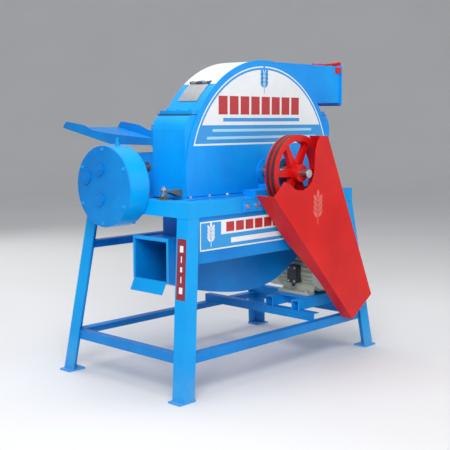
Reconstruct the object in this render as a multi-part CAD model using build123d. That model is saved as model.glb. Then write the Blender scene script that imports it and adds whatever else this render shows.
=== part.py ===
from build123d import *
import math
import os

# Hammer mill on a splayed angle-iron stand. Millimetres, +Z up. X runs along the machine,
# the belt drive faces -Y and the discharge chute faces -X. The main shaft lies along Y.
# Sizes below are measured from the middle of the stand; save() moves everything so that
# the origin is on the floor under the middle of the whole machine.

# ---- overall sizes ----
FRAME_L = 1150.0      # top frame, along X
FRAME_W = 650.0       # top frame, along Y
FX = FRAME_L / 2
FY = FRAME_W / 2
RAIL_TOP = 810.0      # top of the top frame
ANGLE = 65.0          # leg and rail angle iron, 65 x 65 x 6
ANGLE_T = 6.0
SPLAY_X = 101.0       # how far each foot stands outside the top corner
SPLAY_Y = 71.0
LIGHT = 40.0          # stretcher angle iron, 40 x 40 x 4
LIGHT_T = 4.0
STRETCHER_TOP = 191.0
MID_TOP = 600.0
FOOT_L = 92.0
FOOT_OUT = 22.0        # how far a foot plate stands out beyond its leg, along X
FOOT_T = 8.0

# ---- main shaft and casing ----
SHAFT_X = 64.0
PACKING_T = 28.0
BEARING_H = 70.0      # shaft height over the bearing foot
SHAFT_Z = RAIL_TOP + PACKING_T + BEARING_H
SHAFT_R = 30.0
SHAFT_END_R = 20.0
SHAFT_FRONT = -FY - 127.0
SHAFT_STEP = -FY - 8.0      # where the shaft narrows for the pulley
SHAFT_REAR = FY + 20.0
BEARING_Y = FY - 38.0
RUN_GAP = 0.05        # running fit, radial
CASE_F = -180.0       # casing, front and back faces
CASE_B = 26.0
SHEET = 4.0
SHELL_R = 508.0       # arched hood, outside
COVER_R = SHELL_R + 4 # round front cover
CASE_L = -447.0       # casing side walls, outside
CASE_R = 573.0
SEAM_Z = 1168.0       # top of the casing box
DUCT_END = 668.0
DUCT_LOW = 1232.0

# ---- rotor ----
DISC_R = 300.0
DISC_T = 10.0
DISC_YS = (-150.0, -77.0, -4.0)
PIN_CIRCLE = 268.0
PIN_R = 10.0
PIN_GAP = 0.3
HAMMER_REACH = 147.0  # from pin centre to hammer tip
HAMMER_W = 50.0
HAMMER_T = 8.0
HAMMER_YS = (-124.0, -103.0, -51.0, -30.0)
ROWS = 4
SCREEN_R = 439.0
SCREEN_T = 3.0

# ---- belt drive ----
PULLEY_R = 173.0
PULLEY_W = 56.0
PULLEY_Y = -FY - 40.0 # middle plane of both pulleys
MOTOR_PULLEY_R = 65.0
SPOKES = 6
BELT_YS = (PULLEY_Y - 13.0, PULLEY_Y + 13.0)
BELT_W = 13.0
BELT_H = 10.0
GUARD_F = PULLEY_Y - 80.0
GUARD_B = PULLEY_Y + 25.0
GUARD_ROOM = 27.8     # from the big pulley's rim to the guard's right wall
GUARD_T = 2.5

# ---- motor ----
MOTOR_X = 440.0
MOTOR_RAIL_X = (225.0, 597.0)
BASE_T = 6.0
STOOL_H = 48.0        # cross channels under the motor's base plate
MOTOR_H = 112.0       # shaft height of the motor over its feet
MOTOR_Z = STRETCHER_TOP + LIGHT + STOOL_H + BASE_T + MOTOR_H
MOTOR_R = 104.0
MOTOR_F = PULLEY_Y + 75.0
MOTOR_B = MOTOR_F + 270.0
MOTOR_SHAFT_R = 14.0

# ---- feed ----
TRAY_L = -450.0
TRAY_R = -100.0
TRAY_T = 3.0
TRAY_END = 670.0
ROLLER_Y = 94.0
ROLLER_R = 54.0
ROLLER_L = (-408.0, -102.0)
AXLE_R = 15.0
GEAR_M = 5.0          # gears that join the two rollers
GEAR_TEETH = 26
WORM_M = 4.0          # worm on the main shaft, wheel on the lower roller axle
WHEEL_TEETH = 28
WORM_GAP = 0.5
WHEEL_TIP = WORM_M * WHEEL_TEETH / 2 + WORM_M * 0.85
WORM_WALL = 4.6       # metal between the shaft and the root of the thread
WORM_DEPTH = 7.5
WORM_TIP = SHAFT_R + WORM_WALL + WORM_DEPTH
LOWER_Z = SHAFT_Z - WORM_TIP - WORM_GAP - WHEEL_TIP
UPPER_Z = LOWER_Z + GEAR_M * GEAR_TEETH
NIP_Z = (UPPER_Z + LOWER_Z) / 2
ROLLER_TOP = UPPER_Z + 64.0      # top of the roller box
WHEEL_W = 16.0
GEAR_CASE_R = 175.0
GEAR_CASE_Y = 76.0
GEAR_CASE_Z = LOWER_Z + 58.0
GEAR_CASE_X = (-FX - 115.0, -FX - 5.0)
GEAR_X = (-FX - 85.0, -FX - 55.0)

LEG_TOP = RAIL_TOP - ANGLE

BOLTS = []            # every bolt of the stand, bearings, guard and motor, saved as one node

os.makedirs("parts", exist_ok=True)


def block(x0, x1, y0, y1, z0, z1):
    return Pos((x0 + x1) / 2, (y0 + y1) / 2, (z0 + z1) / 2) * Box(x1 - x0, y1 - y0, z1 - z0)


def bar_y(x, z, y0, y1, r):
    return Pos(x, (y0 + y1) / 2, z) * Rot(90, 0, 0) * Cylinder(r, y1 - y0)


def bar_x(y, z, x0, x1, r):
    return Pos((x0 + x1) / 2, y, z) * Rot(0, 90, 0) * Cylinder(r, x1 - x0)


def bar_z(x, y, z0, z1, r):
    return Pos(x, y, (z0 + z1) / 2) * Cylinder(r, z1 - z0)


def plate_xz(points, y0, y1):
    face = make_face(Polyline(*[(x, y0, z) for x, z in points], close=True))
    return extrude(face, amount=y1 - y0, dir=(0, 1, 0))


def plate_yz(points, x0, x1):
    face = make_face(Polyline(*[(x0, y, z) for y, z in points], close=True))
    return extrude(face, amount=x1 - x0, dir=(1, 0, 0))


def save(name, shape):
    """Write one part, moved from the stand's middle to the middle of the whole machine."""
    feet = FX + SPLAY_X + FOOT_OUT
    left = min(GEAR_CASE_X[0] - 14, CHUTE_END[0] - 33, -feet)
    right = max(FLAP_PIN[0] + 9, feet)
    front, rear = SHAFT_FRONT, TRAY_END
    shift = Pos(-(left + right) / 2, -(front + rear) / 2, 0)
    moved = [shift * solid for solid in shape.solids()]
    export_step(moved[0] if len(moved) == 1 else several(moved), f"parts/{name}.step")


def several(shapes):
    return Compound(children=[s for s in shapes])


def hex_bolt_y(x, y, z, reach, size):
    """Hex bolt through a plate whose front face is at y, head towards -Y."""
    head = Pos(x, y, z) * Rot(90, 0, 0) * extrude(RegularPolygon(size * 0.9, 6), amount=size * 0.65)
    return head + bar_y(x, z, y, y + reach, size / 2)


def hex_bolt_z(x, y, z, reach, size):
    """Hex bolt standing in a foot whose top face is at z, head upwards."""
    head = Pos(x, y, z) * extrude(RegularPolygon(size * 0.9, 6), amount=size * 0.65)
    return head + bar_z(x, y, z - reach, z, size / 2)


# ---------------------------------------------------------------- stand

def rail_x(side):
    outer, inner = side * FY, side * (FY - ANGLE_T)
    lo, hi = sorted((outer, inner))
    wall = block(-FX, FX, lo, hi, LEG_TOP, RAIL_TOP)
    lo, hi = sorted((outer, side * (FY - ANGLE)))
    return wall + block(-FX, FX, lo, hi, RAIL_TOP - ANGLE_T, RAIL_TOP)


def rail_y(side):
    lo, hi = sorted((side * FX, side * (FX - ANGLE_T)))
    reach = FY - ANGLE_T
    wall = block(lo, hi, -reach, reach, LEG_TOP, RAIL_TOP - ANGLE_T)
    reach = FY - ANGLE
    wall += block(lo, hi, -reach, reach, RAIL_TOP - ANGLE_T, RAIL_TOP)
    lo, hi = sorted((side * FX, side * (FX - ANGLE)))
    reach = FY - ANGLE
    return wall + block(lo, hi, -reach, reach, RAIL_TOP - ANGLE_T, RAIL_TOP)


def leg(sx, sy):
    a, t = ANGLE, ANGLE_T
    shape = [(0, 0), (a, 0), (a, t), (t, t), (t, a), (0, a)]
    points = [(sx * (FX - u), sy * (FY - v), LEG_TOP) for u, v in shape]
    face = make_face(Polyline(*points, close=True))
    drop = LEG_TOP - FOOT_T
    share = drop / LEG_TOP
    lean = Vector(sx * SPLAY_X * share, sy * SPLAY_Y * share, -drop)
    return extrude(face, amount=lean.length, dir=lean.normalized())


def foot_plate(sx, sy):
    outer = FX + SPLAY_X + FOOT_OUT
    x0, x1 = sorted((sx * outer, sx * (outer - FOOT_L)))
    edge = FY + SPLAY_Y + 2
    y0, y1 = sorted((sy * edge, sy * (edge - ANGLE - 4)))
    return block(x0, x1, y0, y1, 0, FOOT_T)


def leg_corner(z):
    share = (LEG_TOP - z) / LEG_TOP
    return FX + SPLAY_X * share, FY + SPLAY_Y * share


def light_rail_x(side, top, half, y_out):
    """Light angle along X: upright flange outside, the other on top pointing inwards."""
    lo, hi = sorted((side * y_out, side * (y_out - LIGHT_T)))
    wall = block(-half, half, lo, hi, top - LIGHT, top)
    lo, hi = sorted((side * y_out, side * (y_out - LIGHT)))
    return wall + block(-half, half, lo, hi, top - LIGHT_T, top)


def build_stand():
    save("long_rails", several([rail_x(-1), rail_x(1)]))
    notch = block(-FX - 1, -FX + ANGLE + 1, ROLLER_Y - AXLE_R - 5, ROLLER_Y + AXLE_R + 5,
                  LOWER_Z - AXLE_R - 5, RAIL_TOP + 1)
    save("end_rails", several([rail_y(-1) - notch, rail_y(1)]))
    save("legs", several([leg(sx, sy) for sx in (-1, 1) for sy in (-1, 1)]))
    save("foot_plates", several([foot_plate(sx, sy) for sx in (-1, 1) for sy in (-1, 1)]))
    cx, cy = leg_corner(STRETCHER_TOP)
    y_out = cy - ANGLE_T - 0.2
    x_out = cx - ANGLE_T - 0.2
    half = x_out - LIGHT_T - 0.2
    ties = [light_rail_x(side, STRETCHER_TOP, half, y_out) for side in (-1, 1)]
    for side in (-1, 1):
        lo, hi = sorted((side * x_out, side * (x_out - LIGHT_T)))
        wall = block(lo, hi, -y_out, y_out, STRETCHER_TOP - LIGHT, STRETCHER_TOP)
        lo, hi = sorted((side * x_out, side * (x_out - LIGHT)))
        reach = y_out - LIGHT - 0.2
        ties.append(wall + block(lo, hi, -reach, reach, STRETCHER_TOP - LIGHT_T, STRETCHER_TOP))
    mx, my = leg_corner(MID_TOP)
    ties.append(light_rail_x(1, MID_TOP, mx - ANGLE_T - 0.2, my - ANGLE_T - 0.2))
    save("stretchers", several(ties))
    rails = []
    for x0 in MOTOR_RAIL_X:
        z0, z1 = STRETCHER_TOP, STRETCHER_TOP + LIGHT
        reach = y_out - LIGHT_T - 6
        rails.append(block(x0, x0 + LIGHT_T, -reach, reach, z0, z1)
                     + block(x0, x0 + LIGHT, -reach, reach, z1 - LIGHT_T, z1))
    save("motor_rails", several(rails))
    bearers = []
    for x0, x1, side in ((-FX + ANGLE, FX - ANGLE, -1), (-FX + ANGLE, REAR_GAP[0], 1),
                         (REAR_GAP[1], FX - ANGLE, 1)):
        wall = CASE_F if side < 0 else CASE_B
        far = wall + side * 50
        lo, hi = sorted((wall, far))
        bearer = block(x0, x1, lo, hi, RAIL_TOP - 5, RAIL_TOP)
        lo, hi = sorted((far, far - side * 5))
        bearers.append(bearer + block(x0, x1, lo, hi, RAIL_TOP - 50, RAIL_TOP))
    save("casing_bearers", several(bearers))


# stretch along the back of the casing that is left free for the feed rollers
REAR_GAP = (ROLLER_L[0] - 12, SHAFT_X + 54)


# ---------------------------------------------------------------- casing

def case_outline(inset, low):
    """Casing box seen from the front, with its rounded shoulders."""
    left, right, top = CASE_L + inset, CASE_R - inset, SEAM_Z
    sh = 34 - inset * 0.2
    a = (left, SEAM_Z - 63)
    b = (left + sh * 0.35, SEAM_Z - 26)
    c = (left + sh, top)
    d = (right - sh, top)
    e = (right - sh * 0.35, SEAM_Z - 26)
    f = (right, SEAM_Z - 63)
    at = lambda p: (p[0], 0, p[1])
    edges = [Line(at((left, low)), at(a)), ThreePointArc(at(a), at(b), at(c)), Line(at(c), at(d)),
             ThreePointArc(at(d), at(e), at(f)), Line(at(f), at((right, low))),
             Line(at((right, low)), at((left, low)))]
    return make_face(edges)


TRAY_MOUTH = (TRAY_L + 10, TRAY_R - 4, 1040, 1118)     # x0, x1, z0, z1 in the rear plate
ROLLER_MOUTH = (ROLLER_L[0] + 8, ROLLER_L[1] - 8, NIP_Z - 24, NIP_Z + 24)


def build_casing():
    low = RAIL_TOP
    outer = Pos(0, CASE_F, 0) * extrude(case_outline(0, low), amount=CASE_B - CASE_F, dir=(0, 1, 0))
    inner = Pos(0, CASE_F + SHEET, 0) * extrude(
        case_outline(SHEET, low - 20), amount=CASE_B - CASE_F - 2 * SHEET, dir=(0, 1, 0))
    # the box is open at the top, inside the arch
    shell_top = bar_y(SHAFT_X, SHAFT_Z, CASE_F + SHEET, CASE_B - SHEET, SHELL_R - SHEET)
    box = outer - inner - shell_top
    box -= bar_y(SHAFT_X, SHAFT_Z, CASE_F - 1, CASE_B + 1, SHAFT_R + 4)
    for x0, x1, z0, z1 in (TRAY_MOUTH, ROLLER_MOUTH):
        box -= block(x0, x1, CASE_B - SHEET - 1, CASE_B + 1, z0, z1)
    # foot flanges that sit on the two bearers
    box += block(CASE_L, CASE_R - 64, CASE_F - 26, CASE_F, low, low + 5)
    box += block(CASE_L, REAR_GAP[0], CASE_B, CASE_B + 26, low, low + 5)
    box += block(REAR_GAP[1], CASE_R - 64, CASE_B, CASE_B + 26, low, low + 5)
    save("casing_box", box)

    gasket_low, gasket_high = SEAM_Z, SEAM_Z + 4
    half_g = math.sqrt(SHELL_R ** 2 - (SEAM_Z - SHAFT_Z) ** 2)
    strips = []
    for x0, x1 in ((SHAFT_X - half_g - 44, SHAFT_X - half_g), (SHAFT_X + half_g, SHAFT_X + half_g + 44)):
        strips.append(block(x0, x1, CASE_F, CASE_B, gasket_low, gasket_high))
    save("seam_gaskets", several(strips))

    # hood: arched shell, rear plate, front plate and the seam flanges
    z0 = SEAM_Z + 4
    ring = bar_y(SHAFT_X, SHAFT_Z, CASE_F, CASE_B, SHELL_R)
    ring -= bar_y(SHAFT_X, SHAFT_Z, CASE_F + SHEET, CASE_B - SHEET, SHELL_R - SHEET)
    ring -= block(SHAFT_X - 1.2 * SHELL_R, SHAFT_X + 1.2 * SHELL_R, CASE_F - 1, CASE_B + 1, 0, z0)
    duct_in = block(SHAFT_X, DUCT_END, CASE_F + SHEET, CASE_B - SHEET, DUCT_LOW + 3, DUCT_TOP - 3)
    hood = ring - duct_in
    half = math.sqrt((SHELL_R) ** 2 - (z0 - SHAFT_Z) ** 2)
    for x0, x1 in ((SHAFT_X - half - 34, SHAFT_X - half + 12), (SHAFT_X + half - 12, SHAFT_X + half + 34)):
        lip = block(x0, x1, CASE_F, CASE_B, z0, z0 + 16)
        hood += lip - bar_y(SHAFT_X, SHAFT_Z, CASE_F + SHEET, CASE_B - SHEET, SHELL_R - SHEET)
    hood -= sector(SHELL_R - 20, SHELL_R + 20, INSPECT_A[0] + 1.4, INSPECT_A[1] - 1.4,
                   CASE_MID - 45, CASE_MID + 45)
    save("hood", hood)

    cover = bar_y(SHAFT_X, SHAFT_Z, CASE_F - 6, CASE_F, COVER_R)
    cover -= block(SHAFT_X - 1.2 * SHELL_R, SHAFT_X + 1.2 * SHELL_R, CASE_F - 7, CASE_F + 1, 0, RAIL_TOP + 8)
    cover -= bar_y(SHAFT_X, SHAFT_Z, CASE_F - 7, CASE_F + 1, SHAFT_R + 4)
    save("front_cover", cover)
    seal = []
    for y0, y1 in ((CASE_F - 14, CASE_F - 6), (CASE_B, CASE_B + 6)):
        seal.append(bar_y(SHAFT_X, SHAFT_Z, y0, y1, 58) - bar_y(SHAFT_X, SHAFT_Z, y0 - 1, y1 + 1, SHAFT_R + 0.5))
    save("shaft_seal_plates", several(seal))


def sector(r0, r1, a0, a1, y0, y1):
    """Part of a ring about the main shaft between two angles, in degrees from +X towards +Z."""
    pts = []
    n = max(4, int((a1 - a0) / 2))
    steps = [math.radians(a0 + (a1 - a0) * i / n) for i in range(n + 1)]
    ring = bar_y(SHAFT_X, SHAFT_Z, y0, y1, r1) - bar_y(SHAFT_X, SHAFT_Z, y0 - 1, y1 + 1, r0)
    reach = r1 * 1.3 / math.cos(math.radians((a1 - a0) / 2 / n))
    pts = [(SHAFT_X, SHAFT_Z)] + [(SHAFT_X + reach * math.cos(a), SHAFT_Z + reach * math.sin(a)) for a in steps]
    return ring & plate_xz(pts, y0, y1)


CASE_MID = (CASE_F + CASE_B) / 2
DUCT_TOP = SHAFT_Z + SHELL_R
INSPECT_A = (129.0, 141.0)


def build_duct():
    y0, y1 = CASE_F + SHEET, CASE_B - SHEET
    tube = block(SHAFT_X + 1, DUCT_END, y0, y1, DUCT_LOW, DUCT_TOP)
    tube -= block(SHAFT_X, DUCT_END + 1, y0 + 3, y1 - 3, DUCT_LOW + 3, DUCT_TOP - 3)
    tube -= bar_y(SHAFT_X, SHAFT_Z, y0 - 1, y1 + 1, SHELL_R + 0.2)
    rim = block(DUCT_END - 6, DUCT_END, y0 - 10, y1 + 10, DUCT_LOW - 10, DUCT_TOP + 4)
    rim -= block(DUCT_END - 7, DUCT_END + 1, y0, y1, DUCT_LOW, DUCT_TOP)
    save("outlet_duct", several([tube, rim]))
    # hinged flap hanging outside the mouth, and its hinge pin
    pin_x, pin_z = FLAP_PIN
    knuckle = [bar_y(pin_x, pin_z, a, b, 8) - bar_y(pin_x, pin_z, a - 1, b + 1, 5.3)
               for a, b in ((y0 + 30, y0 + 60), (y1 - 60, y1 - 30))]
    flap = block(pin_x - 2, pin_x + 2, y0 + 6, y1 - 6, DUCT_LOW - 14, pin_z - 10)
    for a, b in ((y0 + 30, y0 + 60), (y1 - 60, y1 - 30)):
        flap += block(pin_x - 2, pin_x + 2, a, b, pin_z - 11, pin_z - 5.4)
    flap += knuckle[0] + knuckle[1]
    save("outlet_flap", flap)
    lugs = []
    pin = bar_y(pin_x, pin_z, y0 + 10, y1 - 10, 5)
    for a in (y0 + 14, y1 - 22):
        lug = block(DUCT_END, pin_x, a, a + 8, pin_z - 9, pin_z + 9) + bar_y(pin_x, pin_z, a, a + 8, 9)
        lug += block(DUCT_END, DUCT_END + 3, a, a + 8, DUCT_TOP - 2, pin_z)
        lugs.append(lug - bar_y(pin_x, pin_z, a - 1, a + 9, 5))
    catch = block(622, 658, y0 - 9, y0, DUCT_TOP - 34, DUCT_TOP - 6)
    save("flap_hinge", several(lugs + [pin, catch]))


FLAP_PIN = (DUCT_END + 12, DUCT_TOP + 14)


def build_inspection():
    a0, a1 = INSPECT_A
    plate = sector(SHELL_R + 0.5, SHELL_R + 3.5, a0, a1, CASE_MID - 60, CASE_MID + 60)
    x, z = INSPECT_PIN
    for y0, y1 in ((CASE_MID - 50, CASE_MID - 20), (CASE_MID + 20, CASE_MID + 50)):
        # a strap joins the curl to the edge of the plate
        plate += sector(SHELL_R + 0.5, SHELL_R + 3.5, a0 - 0.9, a0 + 0.6, y0, y1)
        plate += bar_y(x, z, y0, y1, 6)
        plate -= bar_y(x, z, y0 - 1, y1 + 1, 3.3)
    save("inspection_cover", plate)
    pin = bar_y(x, z, CASE_MID - 60, CASE_MID + 60, 3)
    for y0, y1 in ((CASE_MID - 60, CASE_MID - 51), (CASE_MID - 19, CASE_MID + 19), (CASE_MID + 51, CASE_MID + 60)):
        ear = bar_y(x, z, y0, y1, 6)
        a = math.radians(a0 - 1.2)
        foot = sector(SHELL_R + 0.1, SHELL_R + 6, a0 - 2.6, a0 - 1.0, y0, y1)
        pin += ear + foot
    save("inspection_hinge", pin)


INSPECT_PIN = (SHAFT_X + (SHELL_R + 6.6) * math.cos(math.radians(INSPECT_A[0] - 0.9)),
               SHAFT_Z + (SHELL_R + 6.6) * math.sin(math.radians(INSPECT_A[0] - 0.9)))


# ---------------------------------------------------------------- lower housing and chute

FLOOR_LINE = [(503, 810), (499, 720), (468, 620), (395, 527), (282, 450), (180, 396), (70, 366),
              (-45, 357), (-200, 371), (-370, 403)]
CHUTE_END = (-555, 460)
CHUTE_TOP = 636.0
WALL_L = -388.0


def lower_face(inset):
    pts = []
    line = FLOOR_LINE + [CHUTE_END]
    for i, (x, z) in enumerate(line):
        xa, za = line[max(i - 1, 0)]
        xb, zb = line[min(i + 1, len(line) - 1)]
        dx, dz = xb - xa, zb - za
        n = math.hypot(dx, dz)
        pts.append((x + inset * dz / n, z - inset * dx / n))
    if inset:
        pts[0] = (pts[0][0], RAIL_TOP + 1)
        dx, dz = pts[-1][0] - pts[-2][0], pts[-1][1] - pts[-2][1]
        pts.append((pts[-1][0] + dx * 0.1, pts[-1][1] + dz * 0.1))
    else:
        pts[0] = (pts[0][0], RAIL_TOP)
    top = pts[0][1]
    end = pts[-1]
    edges = [Spline(*[(x, 0, z) for x, z in pts])]
    corners = [end, (end[0], CHUTE_TOP - inset), (WALL_L + inset, CHUTE_TOP - inset),
               (WALL_L + inset, top), pts[0]]
    for a, b in zip(corners, corners[1:]):
        edges.append(Line((a[0], 0, a[1]), (b[0], 0, b[1])))
    return make_face(edges)


def build_lower():
    outer = Pos(0, CASE_F, 0) * extrude(lower_face(0), amount=CASE_B - CASE_F, dir=(0, 1, 0))
    inner = Pos(0, CASE_F + SHEET, 0) * extrude(
        lower_face(SHEET), amount=CASE_B - CASE_F - 2 * SHEET, dir=(0, 1, 0))
    save("lower_housing", outer - inner)
    # flange round the mouth of the chute
    x = CHUTE_END[0]
    rim = block(x - 5, x, CASE_F - 8, CASE_B + 8, CHUTE_END[1] - 2, CHUTE_TOP + 14)
    rim -= block(x - 6, x + 1, CASE_F + 2, CASE_B - 2, CHUTE_END[1] - 4, CHUTE_TOP - 2)
    tip = (x - 30, CHUTE_END[1] - 50)
    lip = plate_xz([(x - 5.2, CHUTE_END[1] + 4), (x - 5.2, CHUTE_END[1] - 2), (tip[0], tip[1]),
                    (tip[0] - 3, tip[1] + 2), (x - 9, CHUTE_END[1] + 4)], CASE_F + 2.5, CASE_B - 2.5)
    save("chute_mouth", several([rim, lip]))
    save("front_apron", block(-FX + 9, FX - 9, -FY + ANGLE_T, -FY + ANGLE_T + 3, 550, RAIL_TOP - ANGLE_T))


def build_screen():
    y0, y1 = CASE_F + SHEET + 3, CASE_B - SHEET - 3
    screen = sector(SCREEN_R - SCREEN_T, SCREEN_R, 196, 344, y0, y1)
    tools = []
    for i in range(18):
        a = 202 + i * 8
        for y in (-140, -103, -65, -27, 0 - 14 + 5):
            hole = Pos(SHAFT_X, y, SHAFT_Z) * Rot(0, -a, 0) * Pos(SCREEN_R, 0, 0) * Rot(0, 90, 0) * Cylinder(11, 20)
            tools.append(hole)
    screen -= tools
    rails = [sector(SCREEN_R + 0.1, SCREEN_R + 9, 198, 342, a, b)
             for a, b in ((CASE_F + SHEET, CASE_F + SHEET + 14), (CASE_B - SHEET - 14, CASE_B - SHEET))]
    save("screen", several([screen] + rails))


# ---------------------------------------------------------------- rotor

def build_rotor():
    shaft = bar_y(SHAFT_X, SHAFT_Z, SHAFT_STEP, SHAFT_REAR, SHAFT_R)
    shaft += bar_y(SHAFT_X, SHAFT_Z, SHAFT_FRONT, SHAFT_STEP, SHAFT_END_R)
    shaft = chamfer(shaft.faces().sort_by(Axis.Y)[0].edges(), 2)
    save("main_shaft", shaft)

    discs, spacers, pins, tubes = [], [], [], []
    for y in DISC_YS:
        disc = bar_y(SHAFT_X, SHAFT_Z, y - DISC_T / 2, y + DISC_T / 2, DISC_R)
        disc -= bar_y(SHAFT_X, SHAFT_Z, y - 10, y + 10, SHAFT_R)
        for k in range(ROWS):
            x, z = pin_at(k)
            disc -= bar_y(x, z, y - 10, y + 10, PIN_R)
        discs.append(disc)
    save("rotor_discs", several(discs))
    ys = [CASE_F + 12] + [v for y in DISC_YS for v in (y - DISC_T / 2, y + DISC_T / 2)] + [CASE_B - 12]
    for y0, y1 in zip(ys[0::2], ys[1::2]):
        tube = bar_y(SHAFT_X, SHAFT_Z, y0, y1, 45) - bar_y(SHAFT_X, SHAFT_Z, y0 - 1, y1 + 1, SHAFT_R)
        spacers.append(tube)
    for k in range(ROWS):
        x, z = pin_at(k)
        pins.append(bar_y(x, z, DISC_YS[0] - 14, DISC_YS[-1] + 14, PIN_R))
        edges = [DISC_YS[0] + DISC_T / 2]
        for y in HAMMER_YS:
            if y > DISC_YS[1] and edges[-1] < DISC_YS[1]:
                edges += [DISC_YS[1] - DISC_T / 2, DISC_YS[1] + DISC_T / 2]
            edges += [y - HAMMER_T / 2 - 0.5, y + HAMMER_T / 2 + 0.5]
        edges.append(DISC_YS[-1] - DISC_T / 2)
        for y0, y1 in zip(edges[0::2], edges[1::2]):
            tubes.append(bar_y(x, z, y0, y1, 17) - bar_y(x, z, y0 - 1, y1 + 1, PIN_R))
    save("hammer_pins", several(pins))
    save("rotor_spacers", several(spacers + tubes))
    for k in range(ROWS):
        save(f"hammers_{k + 1}", several([hammer(k, y) for y in HAMMER_YS]))


def pin_at(k):
    a = math.radians(45 + 90 * k)
    return SHAFT_X + PIN_CIRCLE * math.cos(a), SHAFT_Z + PIN_CIRCLE * math.sin(a)


def hammer(k, y):
    """One swinging hammer, drawn standing straight out as it does when running."""
    w = HAMMER_W / 2
    body = block(-28, HAMMER_REACH, -HAMMER_T / 2, HAMMER_T / 2, -w, w)
    body -= bar_y(0, 0, -20, 20, PIN_R + PIN_GAP)
    notch = 7
    for s in (-1, 1):
        zs = sorted((s * w, s * (w - notch)))
        body -= block(HAMMER_REACH - notch, HAMMER_REACH + 1, -20, 20, zs[0] - (1 if s < 0 else 0),
                      zs[1] + (1 if s > 0 else 0))
    x, z = pin_at(k)
    return Pos(x, y, z) * Rot(0, -(45 + 90 * k), 0) * body


# ---------------------------------------------------------------- bearings

def bearing(side):
    y = side * BEARING_Y
    z0 = RAIL_TOP + PACKING_T
    foot = block(SHAFT_X - 118, SHAFT_X + 118, y - 35, y + 35, z0, z0 + 20)
    body = bar_y(SHAFT_X, SHAFT_Z, y - 28, y + 28, 66)
    neck = block(SHAFT_X - 58, SHAFT_X + 58, y - 28, y + 28, z0 + 10, SHAFT_Z - 10)
    unit = foot + body + neck
    unit -= block(SHAFT_X - 200, SHAFT_X + 200, y - 100, y + 100, z0 - 60, z0)
    unit -= bar_y(SHAFT_X, SHAFT_Z, y - 60, y + 60, 44)
    for s in (-1, 1):
        unit -= bar_z(SHAFT_X + s * 92, y, z0 - 1, z0 + 30, 8.5)
    return unit


def bearing_insert(side):
    y = side * BEARING_Y
    ring = bar_y(SHAFT_X, SHAFT_Z, y - 26, y + 26, 44)
    return ring - bar_y(SHAFT_X, SHAFT_Z, y - 40, y + 40, SHAFT_R + RUN_GAP)


def build_bearings():
    save("bearing_housings", several([bearing(-1), bearing(1)]))
    save("bearing_inserts", several([bearing_insert(-1), bearing_insert(1)]))
    packs, bolts = [], []
    for side, x0, x1 in ((-1, -155, 240), (1, -80, 210)):
        y = side * BEARING_Y
        pack = block(x0, x1, y - 33, y + 33, RAIL_TOP, RAIL_TOP + PACKING_T)
        for s in (-1, 1):
            x = SHAFT_X + s * 92
            pack -= bar_z(x, y, RAIL_TOP - 1, RAIL_TOP + 40, 8)
            bolts.append(hex_bolt_z(x, y, RAIL_TOP + PACKING_T + 20, PACKING_T + 20 - 0.2, 16))
        packs.append(pack)
    save("bearing_packings", several(packs))
    BOLTS.extend(bolts)


# ---------------------------------------------------------------- belt drive

def groove(y, r):
    """Ring that cuts one belt groove into a pulley of radius r centred on the origin."""
    pts = [(r + 1, y - 9.8), (r + 1, y + 9.8), (r - 15, y + 6.9), (r - 15, y - 6.9)]
    face = make_face(Polyline(*[(x, v, 0) for x, v in pts], close=True))
    return revolve(face, axis=Axis.Y, revolution_arc=360)


def build_big_pulley():
    half = PULLEY_W / 2
    rim = bar_y(0, 0, -half, half, PULLEY_R) - bar_y(0, 0, -half - 1, half + 1, PULLEY_R - 27)
    hub = bar_y(0, 0, -half - 16, half + 2, 40)
    wheel = rim + hub
    for k in range(SPOKES):
        arm = plate_xz([(30, -19), (PULLEY_R - 22, -12), (PULLEY_R - 22, 12), (30, 19)], -13, 11)
        wheel += Rot(0, -60 * k, 0) * arm
    for y in BELT_YS:
        wheel -= groove(y - PULLEY_Y, PULLEY_R)
    wheel -= bar_y(0, 0, -60, 60, SHAFT_END_R)
    save("big_pulley", Pos(SHAFT_X, PULLEY_Y, SHAFT_Z) * wheel)


def build_motor_pulley():
    half = PULLEY_W / 2
    wheel = bar_y(0, 0, -half, half, MOTOR_PULLEY_R)
    for y in BELT_YS:
        wheel -= groove(y - PULLEY_Y, MOTOR_PULLEY_R)
    wheel -= bar_y(0, 0, -60, 60, MOTOR_SHAFT_R)
    save("motor_pulley", Pos(MOTOR_X, PULLEY_Y, MOTOR_Z) * wheel)


def belt_face(big, small, y):
    """Loop outline round both pulleys at the given radii."""
    dx, dz = MOTOR_X - SHAFT_X, MOTOR_Z - SHAFT_Z
    d = math.hypot(dx, dz)
    base = math.atan2(dz, dx)
    off = math.acos((big - small) / d)
    pts = []
    for a, (cx, cz, r) in ((base + off, (SHAFT_X, SHAFT_Z, big)), (base + off, (MOTOR_X, MOTOR_Z, small)),
                           (base - off, (MOTOR_X, MOTOR_Z, small)), (base - off, (SHAFT_X, SHAFT_Z, big))):
        pts.append((cx + r * math.cos(a), y, cz + r * math.sin(a)))
    out = base + math.pi
    far = (SHAFT_X + big * math.cos(out), y, SHAFT_Z + big * math.sin(out))
    near = (MOTOR_X + small * math.cos(base), y, MOTOR_Z + small * math.sin(base))
    return make_face([Line(pts[0], pts[1]), ThreePointArc(pts[1], near, pts[2]), Line(pts[2], pts[3]),
                      ThreePointArc(pts[3], far, pts[0])])


def build_belts():
    belts = []
    for y in BELT_YS:
        lo = y - BELT_W / 2
        outer = extrude(belt_face(PULLEY_R - 1, MOTOR_PULLEY_R - 1, lo), amount=BELT_W, dir=(0, 1, 0))
        inner = extrude(belt_face(PULLEY_R - 1 - BELT_H, MOTOR_PULLEY_R - 1 - BELT_H, lo - 1),
                        amount=BELT_W + 2, dir=(0, 1, 0))
        belts.append(outer - inner)
    save("belts", several(belts))


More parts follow.
